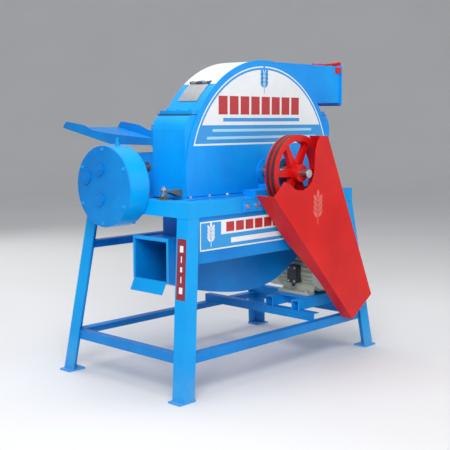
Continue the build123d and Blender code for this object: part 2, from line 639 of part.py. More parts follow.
GUARD_A, GUARD_LOW = (-172.0, 816.0), (424.0, 184.0)
GUARD_LEAN = math.atan2(375.0, 789.0)     # lean of the right wall


def guard_right(along):
    """Point on the guard's right wall, measured up the wall from level with the shaft."""
    out = PULLEY_R + GUARD_ROOM
    return (SHAFT_X + out * math.cos(GUARD_LEAN) - along * math.sin(GUARD_LEAN),
            SHAFT_Z + out * math.sin(GUARD_LEAN) + along * math.cos(GUARD_LEAN))


GUARD_C, GUARD_D = guard_right(-784.12), guard_right(89.46)
CUT_OUT = [(156, 1075), (134, 1046), (121, 1010), (117, 960), (113, 908), (95, 868), (62, 842),
           (25, 831), (-20, 838), (-60, 862), (-103, 878)]


def shift_line(p, q, amount):
    dx, dz = q[0] - p[0], q[1] - p[1]
    n = math.hypot(dx, dz)
    ox, oz = -dz / n * amount, dx / n * amount
    return (p[0] + ox, p[1] + oz), (q[0] + ox, q[1] + oz)


def meet(a, b):
    (x1, z1), (x2, z2) = a
    (x3, z3), (x4, z4) = b
    den = (x1 - x2) * (z3 - z4) - (z1 - z2) * (x3 - x4)
    p, q = x1 * z2 - z1 * x2, x3 * z4 - z3 * x4
    return (p * (x3 - x4) - (x1 - x2) * q) / den, (p * (z3 - z4) - (z1 - z2) * q) / den


def build_guard():
    panel = plate_xz([GUARD_A, GUARD_LOW, GUARD_C, GUARD_D] + CUT_OUT, GUARD_F, GUARD_F + GUARD_T)
    lines = [shift_line(GUARD_A, GUARD_LOW, GUARD_T), shift_line(GUARD_LOW, GUARD_C, GUARD_T),
             shift_line(GUARD_C, GUARD_D, GUARD_T)]
    b2, c2 = meet(lines[0], lines[1]), meet(lines[1], lines[2])
    band = [GUARD_A, GUARD_LOW, GUARD_C, GUARD_D, lines[2][1], c2, b2, lines[0][0]]
    walls = plate_xz(band, GUARD_F, GUARD_B)
    # the back edge steps forward low down, to stand clear of the leg and the stretcher
    clear = -leg_corner(STRETCHER_TOP - LIGHT)[1] - 4
    walls -= plate_yz([(GUARD_B + 1, 600), (clear, 400), (clear, 0), (GUARD_B + 1, 0)], -400, 900)
    lug = plate_xz([(-128, 768), (-128, 806), (-106, 806), (-100, 740)], GUARD_B - 3, GUARD_B)
    save("belt_guard", panel + walls + lug)
    front = -FY
    plate = block(-246, -112, front - 6, front, 748, 798)
    arm = block(-146, -112, GUARD_B + 0.1, front - 6, 776, 798)
    bracket = plate + arm
    bolts = []
    for x in (-222, -160):
        bracket -= bar_y(x, 774, front - 7, front + 1, 6)
        bolts.append(hex_bolt_y(x, front - 6, 774, 5.8, 12))
    save("guard_bracket", bracket)
    BOLTS.extend(bolts)


# ---------------------------------------------------------------- motor

def build_motor():
    x, z = MOTOR_X, MOTOR_Z
    z0 = STRETCHER_TOP + LIGHT
    zb = z0 + STOOL_H
    x0, x1 = MOTOR_RAIL_X[0], MOTOR_RAIL_X[1] + LIGHT
    front, rear = MOTOR_F + 20, MOTOR_B - 40
    plate = block(x0 + 60, x1 - 30, front, rear, zb, zb + BASE_T)
    channels = []
    for a, b in ((front, front + 46), (rear - 46, rear)):
        channels.append(block(x0, x1, a, b, z0, zb) - block(x0 - 1, x1 + 1, a + 5, b - 5, z0 - 1, zb - 5))
    save("motor_base", several([plate] + channels))
    y0, y1 = MOTOR_F + 34, MOTOR_B - 22
    body = bar_y(x, z, y0, y1, MOTOR_R - 12) - bar_y(x, z, y0 - 1, y1 + 1, MOTOR_R - 24)
    for k in range(28):
        a = k * 360 / 28
        fin = block(MOTOR_R - 14, MOTOR_R, y0 + 4, y1 - 4, -1.6, 1.6)
        body += Pos(x, 0, z) * Rot(0, -a, 0) * fin
    foot_z = zb + BASE_T
    for s in (-1, 1):
        a, b = sorted((x + s * 60, x + s * 110))
        foot = block(a, b, y0 + 12, y1 - 12, foot_z, foot_z + 14)
        web_a, web_b = sorted((x + s * 58, x + s * 72))
        foot += block(web_a, web_b, y0 + 12, y1 - 12, foot_z, z - 66)
        body += foot
    body -= bar_y(x, z, y0 - 1, y1 + 1, MOTOR_R - 24)
    for s in (-1, 1):
        for y in (y0 + 34, y1 - 34):
            body -= bar_z(x + s * 95, y, foot_z - 1, foot_z + 20, 6)
    save("motor_body", body)
    bolts = [hex_bolt_z(x + s * 95, y, foot_z + 14, 13.8, 12)
             for s in (-1, 1) for y in (y0 + 34, y1 - 34)]
    BOLTS.extend(bolts)
    front = bar_y(x, z, MOTOR_F, y0, MOTOR_R - 10) - bar_y(x, z, MOTOR_F - 1, y0 + 1, MOTOR_SHAFT_R + 1)
    front = chamfer(front.faces().sort_by(Axis.Y)[0].edges().sort_by(SortBy.LENGTH)[-1], 12)
    back = bar_y(x, z, y1, y1 + 20, MOTOR_R - 5) - bar_y(x, z, y1 - 1, y1 + 30, MOTOR_SHAFT_R + 1)
    save("motor_end_shields", several([front, back]))
    cowl = bar_y(x, z, y1 + 8, y1 + 92, MOTOR_R - 2) - bar_y(x, z, y1 + 7, y1 + 89, MOTOR_R - 5)
    for r in (30, 50, 70):
        n = r // 5
        for k in range(n):
            a = math.radians(k * 360 / n)
            cowl -= bar_y(x + r * math.cos(a), z + r * math.sin(a), y1 + 80, y1 + 100, 6)
    save("fan_cowl", cowl)
    shaft = bar_y(x, z, PULLEY_Y - PULLEY_W / 2, y1 + 70, MOTOR_SHAFT_R)
    core = bar_y(x, z, y0 + 30, y1 - 30, 56) - bar_y(x, z, y0, y1, MOTOR_SHAFT_R)
    save("motor_shaft", several([shaft, core]))
    fan = bar_y(x, z, y1 + 30, y1 + 70, 26) - bar_y(x, z, y1 + 20, y1 + 80, MOTOR_SHAFT_R)
    for k in range(7):
        fan += Pos(x, 0, z) * Rot(0, -k * 360 / 7, 0) * block(24, MOTOR_R - 14, y1 + 34, y1 + 66, -2, 2)
    save("motor_fan", fan)
    # terminal box on the motor's left side, with the cable gland under it
    side = x - MOTOR_R
    box = block(side - 36, side + 12, y0 + 66, y0 + 120, z - 52, z + 33)
    box -= bar_y(x, z, y0, y1, MOTOR_R + 0.2)
    gland = bar_z(side - 20, y0 + 93, z - 70, z - 52, 10)
    save("terminal_box", several([box, gland]))


# ---------------------------------------------------------------- feed tray and rollers

def build_tray():
    t = TRAY_T
    wall = [(CASE_B + 0.2, 1036), (312, 1036), (TRAY_END - 6, 1107), (TRAY_END, 1113), (646, 1137), (626, 1137),
            (505, 1122), (437, 1097), (263, 1080), (CASE_B + 0.2, 1066)]
    tray = plate_yz(wall, TRAY_L, TRAY_L + t) + plate_yz(wall, TRAY_R - t, TRAY_R)
    floor = [(CASE_B + 0.2, 1036), (312, 1036), (TRAY_END - 6, 1107), (TRAY_END - 6.6, 1107 + t), (311.4, 1036 + t),
             (CASE_B + 0.2, 1036 + t)]
    tray += plate_yz(floor, TRAY_L, TRAY_R)
    # flange against the casing
    ring = block(TRAY_L, TRAY_R, CASE_B + 0.1, CASE_B + 4, 1030, 1126)
    ring -= block(TRAY_L + t, TRAY_R - t, CASE_B, CASE_B + 5, 1036 + t, 1119)
    bracket = block(-300, -240, 80, 150, ROLLER_TOP, 1036) - block(
        -294, -246, 70, 160, ROLLER_TOP + 5, 1031)
    save("feed_tray", several([tray + ring, bracket]))



def roller(z):
    x0, x1 = ROLLER_L
    drum = bar_x(ROLLER_Y, z, x0 + 6, x1 - 6, ROLLER_R)
    for k in range(12):
        a = math.radians(30 * k)
        y, h = ROLLER_Y + (ROLLER_R + 1) * math.cos(a), z + (ROLLER_R + 1) * math.sin(a)
        drum -= bar_x(y, h, x0, x1, 7)
    return drum - bar_x(ROLLER_Y, z, x0 - 10, x1 + 10, AXLE_R)


def axle(y, z, x0, x1):
    return bar_x(y, z, x0, x1, AXLE_R)


def gear(teeth, module, width, bore):
    """Spur gear about Z: straight-sided teeth with plenty of backlash."""
    r = module * teeth / 2
    root, tip = r - module * 1.3, r + module * 0.85
    pts = []
    step = 2 * math.pi / teeth
    for k in range(teeth):
        for share, rad in ((-0.30, root), (-0.13, tip), (0.13, tip), (0.30, root)):
            a = (k + share) * step
            pts.append((rad * math.cos(a), rad * math.sin(a)))
    body = extrude(make_face(Polyline(*pts, close=True)), amount=width)
    return body - Pos(0, 0, width / 2) * Cylinder(bore, width + 2)


def gear_on_x(shape, x, y, z, turn):
    """Lay a gear drawn about Z onto an axis along X; turn lifts its first tooth from +Y to +Z."""
    return Pos(x, y, z) * Rot(turn, 0, 0) * Rot(0, 90, 0) * Rot(0, 0, 90) * shape


def build_rollers():
    x_in = GEAR_X[0] - 6
    ends = {"lower": SHAFT_X + WHEEL_W / 2 + 8, "upper": ROLLER_L[1] + 14}
    for name, z in (("lower", LOWER_Z), ("upper", UPPER_Z)):
        save(f"{name}_roller", several([roller(z), axle(ROLLER_Y, z, x_in, ends[name])]))
    wheel = gear(GEAR_TEETH, GEAR_M, GEAR_X[1] - GEAR_X[0], AXLE_R)
    half = 180.0 / GEAR_TEETH
    save("lower_gear", gear_on_x(wheel, GEAR_X[0], ROLLER_Y, LOWER_Z, 90))
    save("upper_gear", gear_on_x(wheel, GEAR_X[0], ROLLER_Y, UPPER_Z, -90 + half))


def build_worm():
    wheel = gear(WHEEL_TEETH, WORM_M, WHEEL_W, AXLE_R)
    save("worm_wheel", gear_on_x(wheel, SHAFT_X - WHEEL_W / 2, ROLLER_Y, LOWER_Z, 0))
    pitch = math.pi * WORM_M
    root, length = WORM_TIP - WORM_DEPTH, 4 * pitch
    path = Helix(pitch, length, root - 0.5)
    start = Plane(origin=(root - 0.5, 0, 0), x_dir=(1, 0, 0), z_dir=(0, 1, 0))
    rise = WORM_TIP - root + 0.5
    tooth = start * make_face(Polyline((0, -4.2), (rise, -1.8), (rise, 1.8), (0, 4.2), close=True))
    thread = sweep(tooth, path=path, is_frenet=True)
    body = Pos(0, 0, length / 2) * Cylinder(root, length + 12) + thread
    body -= Pos(0, 0, length / 2) * Cylinder(SHAFT_R, length + 40)
    save("worm", Pos(SHAFT_X, ROLLER_Y + length / 2, SHAFT_Z) * Rot(90, 0, 0) * body)
    # sheet guard over the worm and wheel, open towards the casing
    half = WORM_TIP + 6
    x0, x1, y0, y1 = SHAFT_X - half, SHAFT_X + half, CASE_B, ROLLER_Y + 70
    z0, z1 = LOWER_Z - 68, SHAFT_Z + half
    shield = block(x0, x1, y0, y1, z0, z1) - block(x0 + 3, x1 - 3, y0 - 1, y1 - 3, z0 + 3, z1 - 3)
    shield -= bar_y(SHAFT_X, SHAFT_Z, y1 - 10, y1 + 1, SHAFT_R + 3)
    shield -= bar_x(ROLLER_Y, LOWER_Z, x0 - 1, x0 + 5, AXLE_R + 3)
    shield -= bar_y(SHAFT_X, SHAFT_Z, CASE_B - 1, CASE_B + 7, 59)
    save("worm_guard", shield)


def build_roller_box():
    y0, y1 = CASE_B + 0.2, ROLLER_Y + 80
    x0, x1 = ROLLER_L
    sides, bushes = [], []
    for a, b in ((x0 - 10, x0), (x1, x1 + 10)):
        side = block(a, b, y0, y1, LOWER_Z - 60, ROLLER_TOP)
        for z in (LOWER_Z, UPPER_Z):
            side -= bar_x(ROLLER_Y, z, a - 1, b + 1, AXLE_R + 9)
            bush = bar_x(ROLLER_Y, z, a - 2, b + 2, AXLE_R + 9)
            bushes.append(bush - bar_x(ROLLER_Y, z, a - 9, b + 9, AXLE_R + RUN_GAP))
        sides.append(side)
    roof = block(x0 + 0.2, x1 - 0.2, y0, y1 - 20, ROLLER_TOP - 4, ROLLER_TOP)
    shear = block(x0 + 0.5, x1 - 0.5, y0, y0 + 10, NIP_Z - 34, NIP_Z - 26)
    save("roller_box", several(sides + [roof, shear]))
    save("roller_bushes", several(bushes))
    table = block(x0, x1, ROLLER_Y + 46, 430, NIP_Z - 14, NIP_Z - 10)
    for x in (x0, x1 - 3):
        table += block(x, x + 3, ROLLER_Y + 62, 430, NIP_Z - 14, NIP_Z + 26)
    save("stalk_table", table)


def build_gear_case():
    xa, xb = GEAR_CASE_X
    y, z, r = GEAR_CASE_Y, GEAR_CASE_Z, GEAR_CASE_R
    cup = bar_x(y, z, xa + 5, xb, r) - bar_x(y, z, xa, xb - 6, r - 5)
    face = bar_x(y, z, xa, xa + 5, r)
    face = fillet(face.faces().sort_by(Axis.X)[0].edges(), 3)
    for yy, zz in ((ROLLER_Y, LOWER_Z), (ROLLER_Y, UPPER_Z), THIRD_BOSS):
        face += bar_x(yy, zz, xa - 10, xa + 2, 26) + bar_x(yy, zz, xa - 14, xa - 8, 12)
    save("gear_cover", face)
    bracket = block(xb, -FX, 0, 150, LOWER_Z - 106, RAIL_TOP - 7)
    for zz in (LOWER_Z, UPPER_Z):
        cup -= bar_x(ROLLER_Y, zz, xb - 8, xb + 1, AXLE_R + RUN_GAP)
        bracket -= bar_x(ROLLER_Y, zz, xb - 1, -FX + 1, AXLE_R + 3)
    top = z + math.sqrt(r * r - (58 - y) ** 2)
    px = xb - 42
    plug = bar_z(px, 58, top - 6, top + 12, 11) + bar_z(px, 58, top + 12, top + 34, 7)
    save("gear_case", several([cup, bracket, plug - bar_x(y, z, xa, xb, r)]))


THIRD_BOSS = (ROLLER_Y + 89.0, GEAR_CASE_Z + 32.0)


# ---------------------------------------------------------------- casing clamp

CLAMP_PIN = (-FX + 38.0, RAIL_TOP + 16.0)
CLAMP_Y = -140.0
LUG_TOP = RAIL_TOP + 40.0


def build_clamp():
    x, z = CLAMP_PIN
    y = CLAMP_Y
    fork = block(x - 22, x + 22, y - 24, y + 24, RAIL_TOP, RAIL_TOP + 4)
    for s in (-1, 1):
        a, b = sorted((y + s * 9, y + s * 16))
        fork += block(x - 9, x + 9, a, b, RAIL_TOP + 4, z + 9)
    fork -= bar_y(x, z, y - 30, y + 30, 5)
    eye = bar_y(x, z, y - 7, y + 7, 9.5) + bar_z(x, y, z + 7, LUG_TOP + 17, 5)
    eye += Pos(x, y, LUG_TOP + 0.6) * extrude(RegularPolygon(10, 6), amount=9)
    save("clamp_eyebolt", eye - bar_y(x, z, y - 10, y + 10, 5.3))
    # the slot in the lug opens outwards, so the bolt can swing clear of it
    lug = block(x - 5, CASE_L, y - 22, y + 22, LUG_TOP - 8, LUG_TOP)
    lug -= block(x - 6, x + 7, y - 6.5, y + 6.5, LUG_TOP - 9, LUG_TOP + 1)
    for s in (-1, 1):
        a, b = sorted((y + s * 17, y + s * 22))
        lug += plate_xz([(CASE_L, LUG_TOP - 8), (x + 16, LUG_TOP - 8), (CASE_L, RAIL_TOP + 8)], a, b)
    save("clamp_mounts", several([fork, bar_y(x, z, y - 20, y + 20, 5), lug]))


build_stand()
build_casing()
build_duct()
build_inspection()
build_lower()
build_screen()
build_rotor()
build_bearings()
build_big_pulley()
build_motor_pulley()
build_belts()
build_guard()
build_motor()
build_tray()
build_rollers()
build_worm()
build_roller_box()
build_gear_case()
build_clamp()
save("bolts", several(BOLTS))
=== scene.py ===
import math

import bmesh
import bpy
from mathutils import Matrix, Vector


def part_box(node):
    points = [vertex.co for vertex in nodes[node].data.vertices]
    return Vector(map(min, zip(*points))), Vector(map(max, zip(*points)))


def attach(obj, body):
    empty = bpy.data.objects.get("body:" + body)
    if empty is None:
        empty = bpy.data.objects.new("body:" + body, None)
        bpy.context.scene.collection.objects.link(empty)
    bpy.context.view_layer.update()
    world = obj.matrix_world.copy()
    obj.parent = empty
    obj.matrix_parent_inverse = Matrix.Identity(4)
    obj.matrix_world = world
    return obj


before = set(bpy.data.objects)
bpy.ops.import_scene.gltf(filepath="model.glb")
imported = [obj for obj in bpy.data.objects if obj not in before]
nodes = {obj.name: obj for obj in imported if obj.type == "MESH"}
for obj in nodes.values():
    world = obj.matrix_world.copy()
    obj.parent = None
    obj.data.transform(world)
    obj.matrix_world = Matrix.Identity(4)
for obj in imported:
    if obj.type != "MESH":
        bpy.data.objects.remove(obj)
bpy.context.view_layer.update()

# %% [markdown]
# A hammer mill: a painted sheet-steel casing on an angle-iron stand, with a belt drive in front.
# The imported CAD gives every part its true size and place, so this file only adds what paint,
# labels, welds and small fasteners add.

# %% [markdown]
# Places are easiest to think of in millimetres from the middle of the stand, as a fitter would
# measure them. The middle of the two long rails is that point, and `at` turns such a place into
# the frame's metres. The main shaft's axis and the casing's front come from the CAD as well.

# %% Places
MM = 0.001


def middle(node):
    low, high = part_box(node)
    return (low + high) / 2


stand = middle("long_rails")


def at(x, y, z):
    return Vector((stand.x + x * MM, stand.y + y * MM, z * MM))


shaft = middle("main_shaft")
SHAFT_X = (shaft.x - stand.x) / MM
SHAFT_Z = shaft.z / MM
COVER_Y = (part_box("front_cover")[0].y - stand.y) / MM
CORNER_X, CORNER_Y = 575.0, 325.0    # outer corner of the top frame
LEG_TOP = 745.0
SPLAY_X, SPLAY_Y = 101.0, 71.0       # how far a leg leans out over its height
ANGLE = 65.0                         # width of the angle iron's flanges
print("shaft axis", round(SHAFT_X, 1), round(SHAFT_Z, 1), "cover face", round(COVER_Y, 1))

# %% [markdown]
# Four effects are shared by most finishes, so each is a node group: worn edges, broad colour
# drift, dust that lies on top faces and low down, and the faint orange-peel of sprayed paint.
# A group only gives masks or heights. The shader that uses them stays in each material.
# Worn edges are found by comparing the rounded normal of a Bevel node with the true one.

# %% Helpers that build node groups


class Tree:
    """Adds nodes to a tree and links them, from left to right."""

    def __init__(self, tree):
        self.tree = tree
        self.column = 0

    def add(self, kind, **settings):
        node = self.tree.nodes.new(kind)
        self.column += 1
        node.location = (self.column * 190, 0)
        for name, value in settings.items():
            setattr(node, name, value)
        return node

    def link(self, a, b):
        self.tree.links.new(a, b)

    def math(self, operation, a, b=None, clamp=False):
        node = self.add("ShaderNodeMath", operation=operation, use_clamp=clamp)
        for i, value in enumerate((a, b)):
            if value is None:
                continue
            if isinstance(value, (int, float)):
                node.inputs[i].default_value = value
            else:
                self.link(value, node.inputs[i])
        return node.outputs[0]

    def noise(self, vector, scale, detail=4.0, rough=0.55):
        node = self.add("ShaderNodeTexNoise")
        node.inputs["Scale"].default_value = scale
        node.inputs["Detail"].default_value = detail
        node.inputs["Roughness"].default_value = rough
        self.link(vector, node.inputs["Vector"])
        return node.outputs["Fac"]

    def ramp(self, value, low, high, to_low=0.0, to_high=1.0):
        node = self.add("ShaderNodeMapRange")
        node.inputs["From Min"].default_value = low
        node.inputs["From Max"].default_value = high
        node.inputs["To Min"].default_value = to_low
        node.inputs["To Max"].default_value = to_high
        self.link(value, node.inputs["Value"])
        return node.outputs[0]

    def mix(self, factor, a, b):
        node = self.add("ShaderNodeMix", data_type="RGBA")
        for socket, value in ((node.inputs[0], factor), (node.inputs[6], a), (node.inputs[7], b)):
            if isinstance(value, (int, float)):
                socket.default_value = value
            elif isinstance(value, tuple):
                socket.default_value = (*value, 1.0)
            else:
                self.link(value, socket)
        return node.outputs[2]


def new_group(name, inputs, outputs):
    """An empty shader group with named number inputs and outputs."""
    tree = bpy.data.node_groups.new(name, "ShaderNodeTree")
    for label, value in inputs:
        socket = tree.interface.new_socket(label, in_out="INPUT", socket_type="NodeSocketFloat")
        socket.default_value = value
    for label in outputs:
        tree.interface.new_socket(label, in_out="OUTPUT", socket_type="NodeSocketFloat")
    start = tree.nodes.new("NodeGroupInput")
    end = tree.nodes.new("NodeGroupOutput")
    end.location = (2400, 0)
    return Tree(tree), start, end


# %% The four shared effects


def make_edge_group():
    t, start, end = new_group("worn_edges", [("Width", 0.002), ("Patches", 0.5)], ["Mask"])
    coords = t.add("ShaderNodeTexCoord").outputs["Object"]
    bevel = t.add("ShaderNodeBevel", samples=4)
    t.link(start.outputs["Width"], bevel.inputs["Radius"])
    geometry = t.add("ShaderNodeNewGeometry")
    dot = t.add("ShaderNodeVectorMath", operation="DOT_PRODUCT")
    t.link(bevel.outputs[0], dot.inputs[0])
    t.link(geometry.outputs["Normal"], dot.inputs[1])
    edge = t.ramp(dot.outputs["Value"], 0.995, 0.80)
    broken = t.ramp(t.noise(coords, 45.0, 6.0, 0.7), 0.42, 0.66)
    kept = t.math("MULTIPLY", broken, start.outputs["Patches"])
    t.link(t.math("MULTIPLY", edge, kept, clamp=True), end.inputs["Mask"])
    return t.tree


def make_drift_group():
    t, start, end = new_group("colour_drift", [("Amount", 1.0)], ["Mask", "Fine"])
    coords = t.add("ShaderNodeTexCoord").outputs["Object"]
    wide = t.ramp(t.noise(coords, 3.2, 3.0), 0.32, 0.68)
    fine = t.ramp(t.noise(coords, 60.0, 5.0, 0.65), 0.3, 0.7)
    t.link(t.math("MULTIPLY", wide, start.outputs["Amount"], clamp=True), end.inputs["Mask"])
    t.link(t.math("MULTIPLY", fine, start.outputs["Amount"], clamp=True), end.inputs["Fine"])
    return t.tree


def make_dust_group():
    inputs = [("Top", 0.4), ("Low Down", 0.4)]
    t, start, end = new_group("dust", inputs, ["Mask"])
    coords = t.add("ShaderNodeTexCoord").outputs["Object"]
    geometry = t.add("ShaderNodeNewGeometry")
    up = t.add("ShaderNodeSeparateXYZ")
    t.link(geometry.outputs["Normal"], up.inputs[0])
    place = t.add("ShaderNodeSeparateXYZ")
    t.link(coords, place.inputs[0])
    flat = t.math("MULTIPLY", t.ramp(up.outputs["Z"], 0.55, 1.0), start.outputs["Top"])
    low = t.math("MULTIPLY", t.ramp(place.outputs["Z"], 0.16, 0.0), start.outputs["Low Down"])
    cloud = t.ramp(t.noise(coords, 14.0, 8.0, 0.7), 0.35, 0.7)
    t.link(t.math("MULTIPLY", t.math("ADD", flat, low), cloud, clamp=True), end.inputs["Mask"])
    return t.tree


def make_spray_group():
    inputs = [("Peel", 1.0), ("Waves", 1.0)]
    t, start, end = new_group("spray_skin", inputs, ["Height"])
    coords = t.add("ShaderNodeTexCoord").outputs["Object"]
    peel = t.math("MULTIPLY", t.noise(coords, 260.0, 2.0), start.outputs["Peel"])
    waves = t.math("MULTIPLY", t.noise(coords, 7.0, 2.0), start.outputs["Waves"])
    t.link(t.math("ADD", t.math("MULTIPLY", peel, 0.12), waves), end.inputs["Height"])
    return t.tree


edge_group, drift_group = make_edge_group(), make_drift_group()
dust_group, spray_group = make_dust_group(), make_spray_group()
print("shared effects:", [g.name for g in bpy.data.node_groups])

# %% [markdown]
# Sprayed paint is the main finish: blue on the casing and stand, red on the drive, cream on the
# motor and dark grey on small fittings. One recipe makes them all. The colour drifts between a
# light and a deep tone, edges show a worn primer, dust dulls flat tops, and the coat's roughness
# follows the same masks.

# %% Paint
BLUE = (0.0, 0.27, 0.82), (0.0, 0.38, 0.95)    # deep and light tone
PAINT_WEAR = 0.0010        # metres, how far wear reaches in from an edge
PAINT_ROUNDING = 0.0008    # metres, less than half of the thinnest sheet
PAINT_SKIN = 0.0006        # metres, depth of the orange-peel
DUST_TONE = (0.46, 0.43, 0.37)


def use_group(t, tree, **values):
    node = t.add("ShaderNodeGroup")
    node.node_tree = tree
    for name, value in values.items():
        node.inputs[name.replace("_", " ")].default_value = value
    return node


def new_material(name):
    material = bpy.data.materials.new(name)
    material.use_nodes = True
    material.node_tree.nodes.clear()
    t = Tree(material.node_tree)
    shader = t.add("ShaderNodeBsdfPrincipled")
    output = t.add("ShaderNodeOutputMaterial")
    shader.location, output.location = (3200, 0), (3500, 0)
    t.link(shader.outputs[0], output.inputs[0])
    return material, t, shader


def rounded(t, shader, height, distance, width):
    """Bump on top of a slightly rounded normal, so that no edge is razor sharp."""
    bevel = t.add("ShaderNodeBevel", samples=4)
    bevel.inputs["Radius"].default_value = width
    bump = t.add("ShaderNodeBump")
    bump.inputs["Distance"].default_value = distance
    bump.inputs["Strength"].default_value = 1.0
    t.link(height, bump.inputs["Height"])
    t.link(bevel.outputs[0], bump.inputs["Normal"])
    t.link(bump.outputs[0], shader.inputs["Normal"])


def paint(name, deep, light, worn=(0.30, 0.30, 0.31), rough=0.34, patches=0.6, dust=0.12,
          waves=1.0, coat=0.10):
    material, t, shader = new_material(name)
    drift = use_group(t, drift_group, Amount=1.0)
    edge = use_group(t, edge_group, Width=PAINT_WEAR, Patches=patches)
    dirt = use_group(t, dust_group, Top=dust, Low_Down=0.5)
    skin = use_group(t, spray_group, Peel=1.0, Waves=waves)
    colour = t.mix(drift.outputs["Mask"], deep, light)
    speckle = t.math("MULTIPLY", drift.outputs["Fine"], 0.10)
    colour = t.mix(speckle, colour, tuple(c * 0.55 for c in deep))
    colour = t.mix(edge.outputs["Mask"], colour, worn)
    colour = t.mix(t.math("MULTIPLY", dirt.outputs["Mask"], 0.55), colour, DUST_TONE)
    t.link(colour, shader.inputs["Base Color"])
    roughness = t.ramp(drift.outputs["Fine"], 0.0, 1.0, rough, rough + 0.08)
    roughness = t.math("ADD", roughness, t.math("MULTIPLY", dirt.outputs["Mask"], 0.35))
    roughness = t.math("ADD", roughness, t.math("MULTIPLY", edge.outputs["Mask"], 0.2), clamp=True)
    t.link(roughness, shader.inputs["Roughness"])
    shader.inputs["Coat Weight"].default_value = coat
    shader.inputs["Coat Roughness"].default_value = 0.15
    shader.inputs["Specular IOR Level"].default_value = 0.22
    rounded(t, shader, skin.outputs["Height"], PAINT_SKIN, PAINT_ROUNDING)
    return material


blue_paint = paint("blue_paint", *BLUE)
# The shaded blue is the same blue made darker for the stretchers, motor rails, gear cover, feed tray,
# lower housing and apron: painted shade, standing in for the shade these low and tucked-in parts lie
# in.
shaded_blue_paint = paint("shaded_blue_paint", (0.0, 0.18, 0.58), (0.0, 0.27, 0.74))
light_blue_paint = paint("stand_blue_paint", (0.0, 0.30, 0.78), (0.0, 0.39, 0.88), dust=0.15)
red_paint = paint("red_paint", (0.62, 0.004, 0.004), (0.80, 0.010, 0.007), worn=(0.34, 0.12, 0.10),
                  patches=0.3, dust=0.1)
cream_paint = paint("cream_paint", (0.66, 0.68, 0.52), (0.78, 0.80, 0.66), rough=0.36, patches=0.4)
grey_paint = paint("grey_paint", (0.05, 0.06, 0.07), (0.13, 0.14, 0.16), rough=0.42)
print("paints ready")

# %% [markdown]
# The hood's top sheet is painted pale, almost white, from its bend upwards, and blue below: a painted
# highlight standing in for the glare of an overhead light on the gloss paint. It is one sheet in the
# CAD, so the change is a mask on the angle about the main shaft, with a crisp edge at the bend and a
# soft fade past the top.

# %% Hood paint with a painted highlight on the top sheet
HIGHLIGHT_START = 38.6, 38.2      # degrees left of the top, where the painted highlight takes over from blue
HIGHLIGHT_END = -2.0, 6.0         # degrees, the fade back to blue
HOOD_SKIN = 0.5055, 0.5065   # metres from the shaft, so that only the outer face carries the painted highlight


def hood_paint_with_painted_highlight():
    material = paint("hood_paint_with_painted_highlight", *BLUE)
    t = Tree(material.node_tree)
    t.column = 20
    shader = next(n for n in material.node_tree.nodes if n.type == "BSDF_PRINCIPLED")
    below = shader.inputs["Base Color"].links[0].from_socket
    coords = t.add("ShaderNodeTexCoord").outputs["Object"]
    place = t.add("ShaderNodeSeparateXYZ")
    t.link(coords, place.inputs[0])
    along = t.math("SUBTRACT", shaft.x, place.outputs["X"])
    up = t.math("SUBTRACT", place.outputs["Z"], shaft.z)
    angle = t.math("DEGREES", t.math("ARCTAN2", along, up))
    near = t.ramp(angle, *HIGHLIGHT_START)
    far = t.ramp(angle, *HIGHLIGHT_END)
    squares = t.math("ADD", t.math("MULTIPLY", along, along), t.math("MULTIPLY", up, up))
    skin = t.ramp(t.math("SQRT", squares), *HOOD_SKIN)
    highlight_mask = t.math("MULTIPLY", t.math("MULTIPLY", near, far), skin)
    cloud = t.ramp(t.noise(coords, 5.0), 0.3, 0.7)
    # painted highlight: near-white tones that stand in for the overhead light's glare
    pale = t.mix(cloud, (0.62, 0.83, 0.92), (0.90, 0.95, 0.96))
    t.link(t.mix(highlight_mask, below, pale), shader.inputs["Base Color"])
    return material


hood_highlight_paint = hood_paint_with_painted_highlight()

# %% [markdown]
# Bare metal parts are turned, ground or cast. Turned and ground steel shows fine lines and a
# little rust bloom; cast iron is dull and pitted. The lines follow an object axis, so the recipe
# takes a stretch for the noise along X, Y and Z.

# %% Metals
TURNED = (0.34, 0.34, 0.35), (0.62, 0.62, 0.63)    # dark and bright tone of turned steel


def metal(name, dark, bright, stretch, rough=(0.22, 0.42), rust=0.25, pits=0.0, metallic=1.0):
    material, t, shader = new_material(name)
    coords = t.add("ShaderNodeTexCoord").outputs["Object"]
    mapping = t.add("ShaderNodeMapping")
    mapping.inputs["Scale"].default_value = stretch
    t.link(coords, mapping.inputs["Vector"])
    lines = t.noise(mapping.outputs[0], 1.0, 3.0, 0.6)
    edge = use_group(t, edge_group, Width=0.0015, Patches=0.7)
    drift = use_group(t, drift_group, Amount=1.0)
    colour = t.mix(t.ramp(lines, 0.3, 0.7), dark, bright)
    bloom = t.ramp(t.noise(coords, 22.0, 8.0, 0.7), 0.60, 0.78, 0.0, rust)
    colour = t.mix(bloom, colour, (0.22, 0.105, 0.05))
    colour = t.mix(edge.outputs["Mask"], colour, (0.75, 0.75, 0.74))
    t.link(colour, shader.inputs["Base Color"])
    roughness = t.math("ADD", t.ramp(lines, 0.3, 0.7, *rough), bloom, clamp=True)
    t.link(roughness, shader.inputs["Roughness"])
    shader.inputs["Metallic"].default_value = metallic
    height = t.math("ADD", t.math("MULTIPLY", lines, 0.25),
                    t.math("MULTIPLY", t.noise(coords, 380.0, 4.0), pits))
    rounded(t, shader, t.math("ADD", height, t.math("MULTIPLY", drift.outputs["Fine"], 0.02)),
            0.0004, 0.0010)
    return material


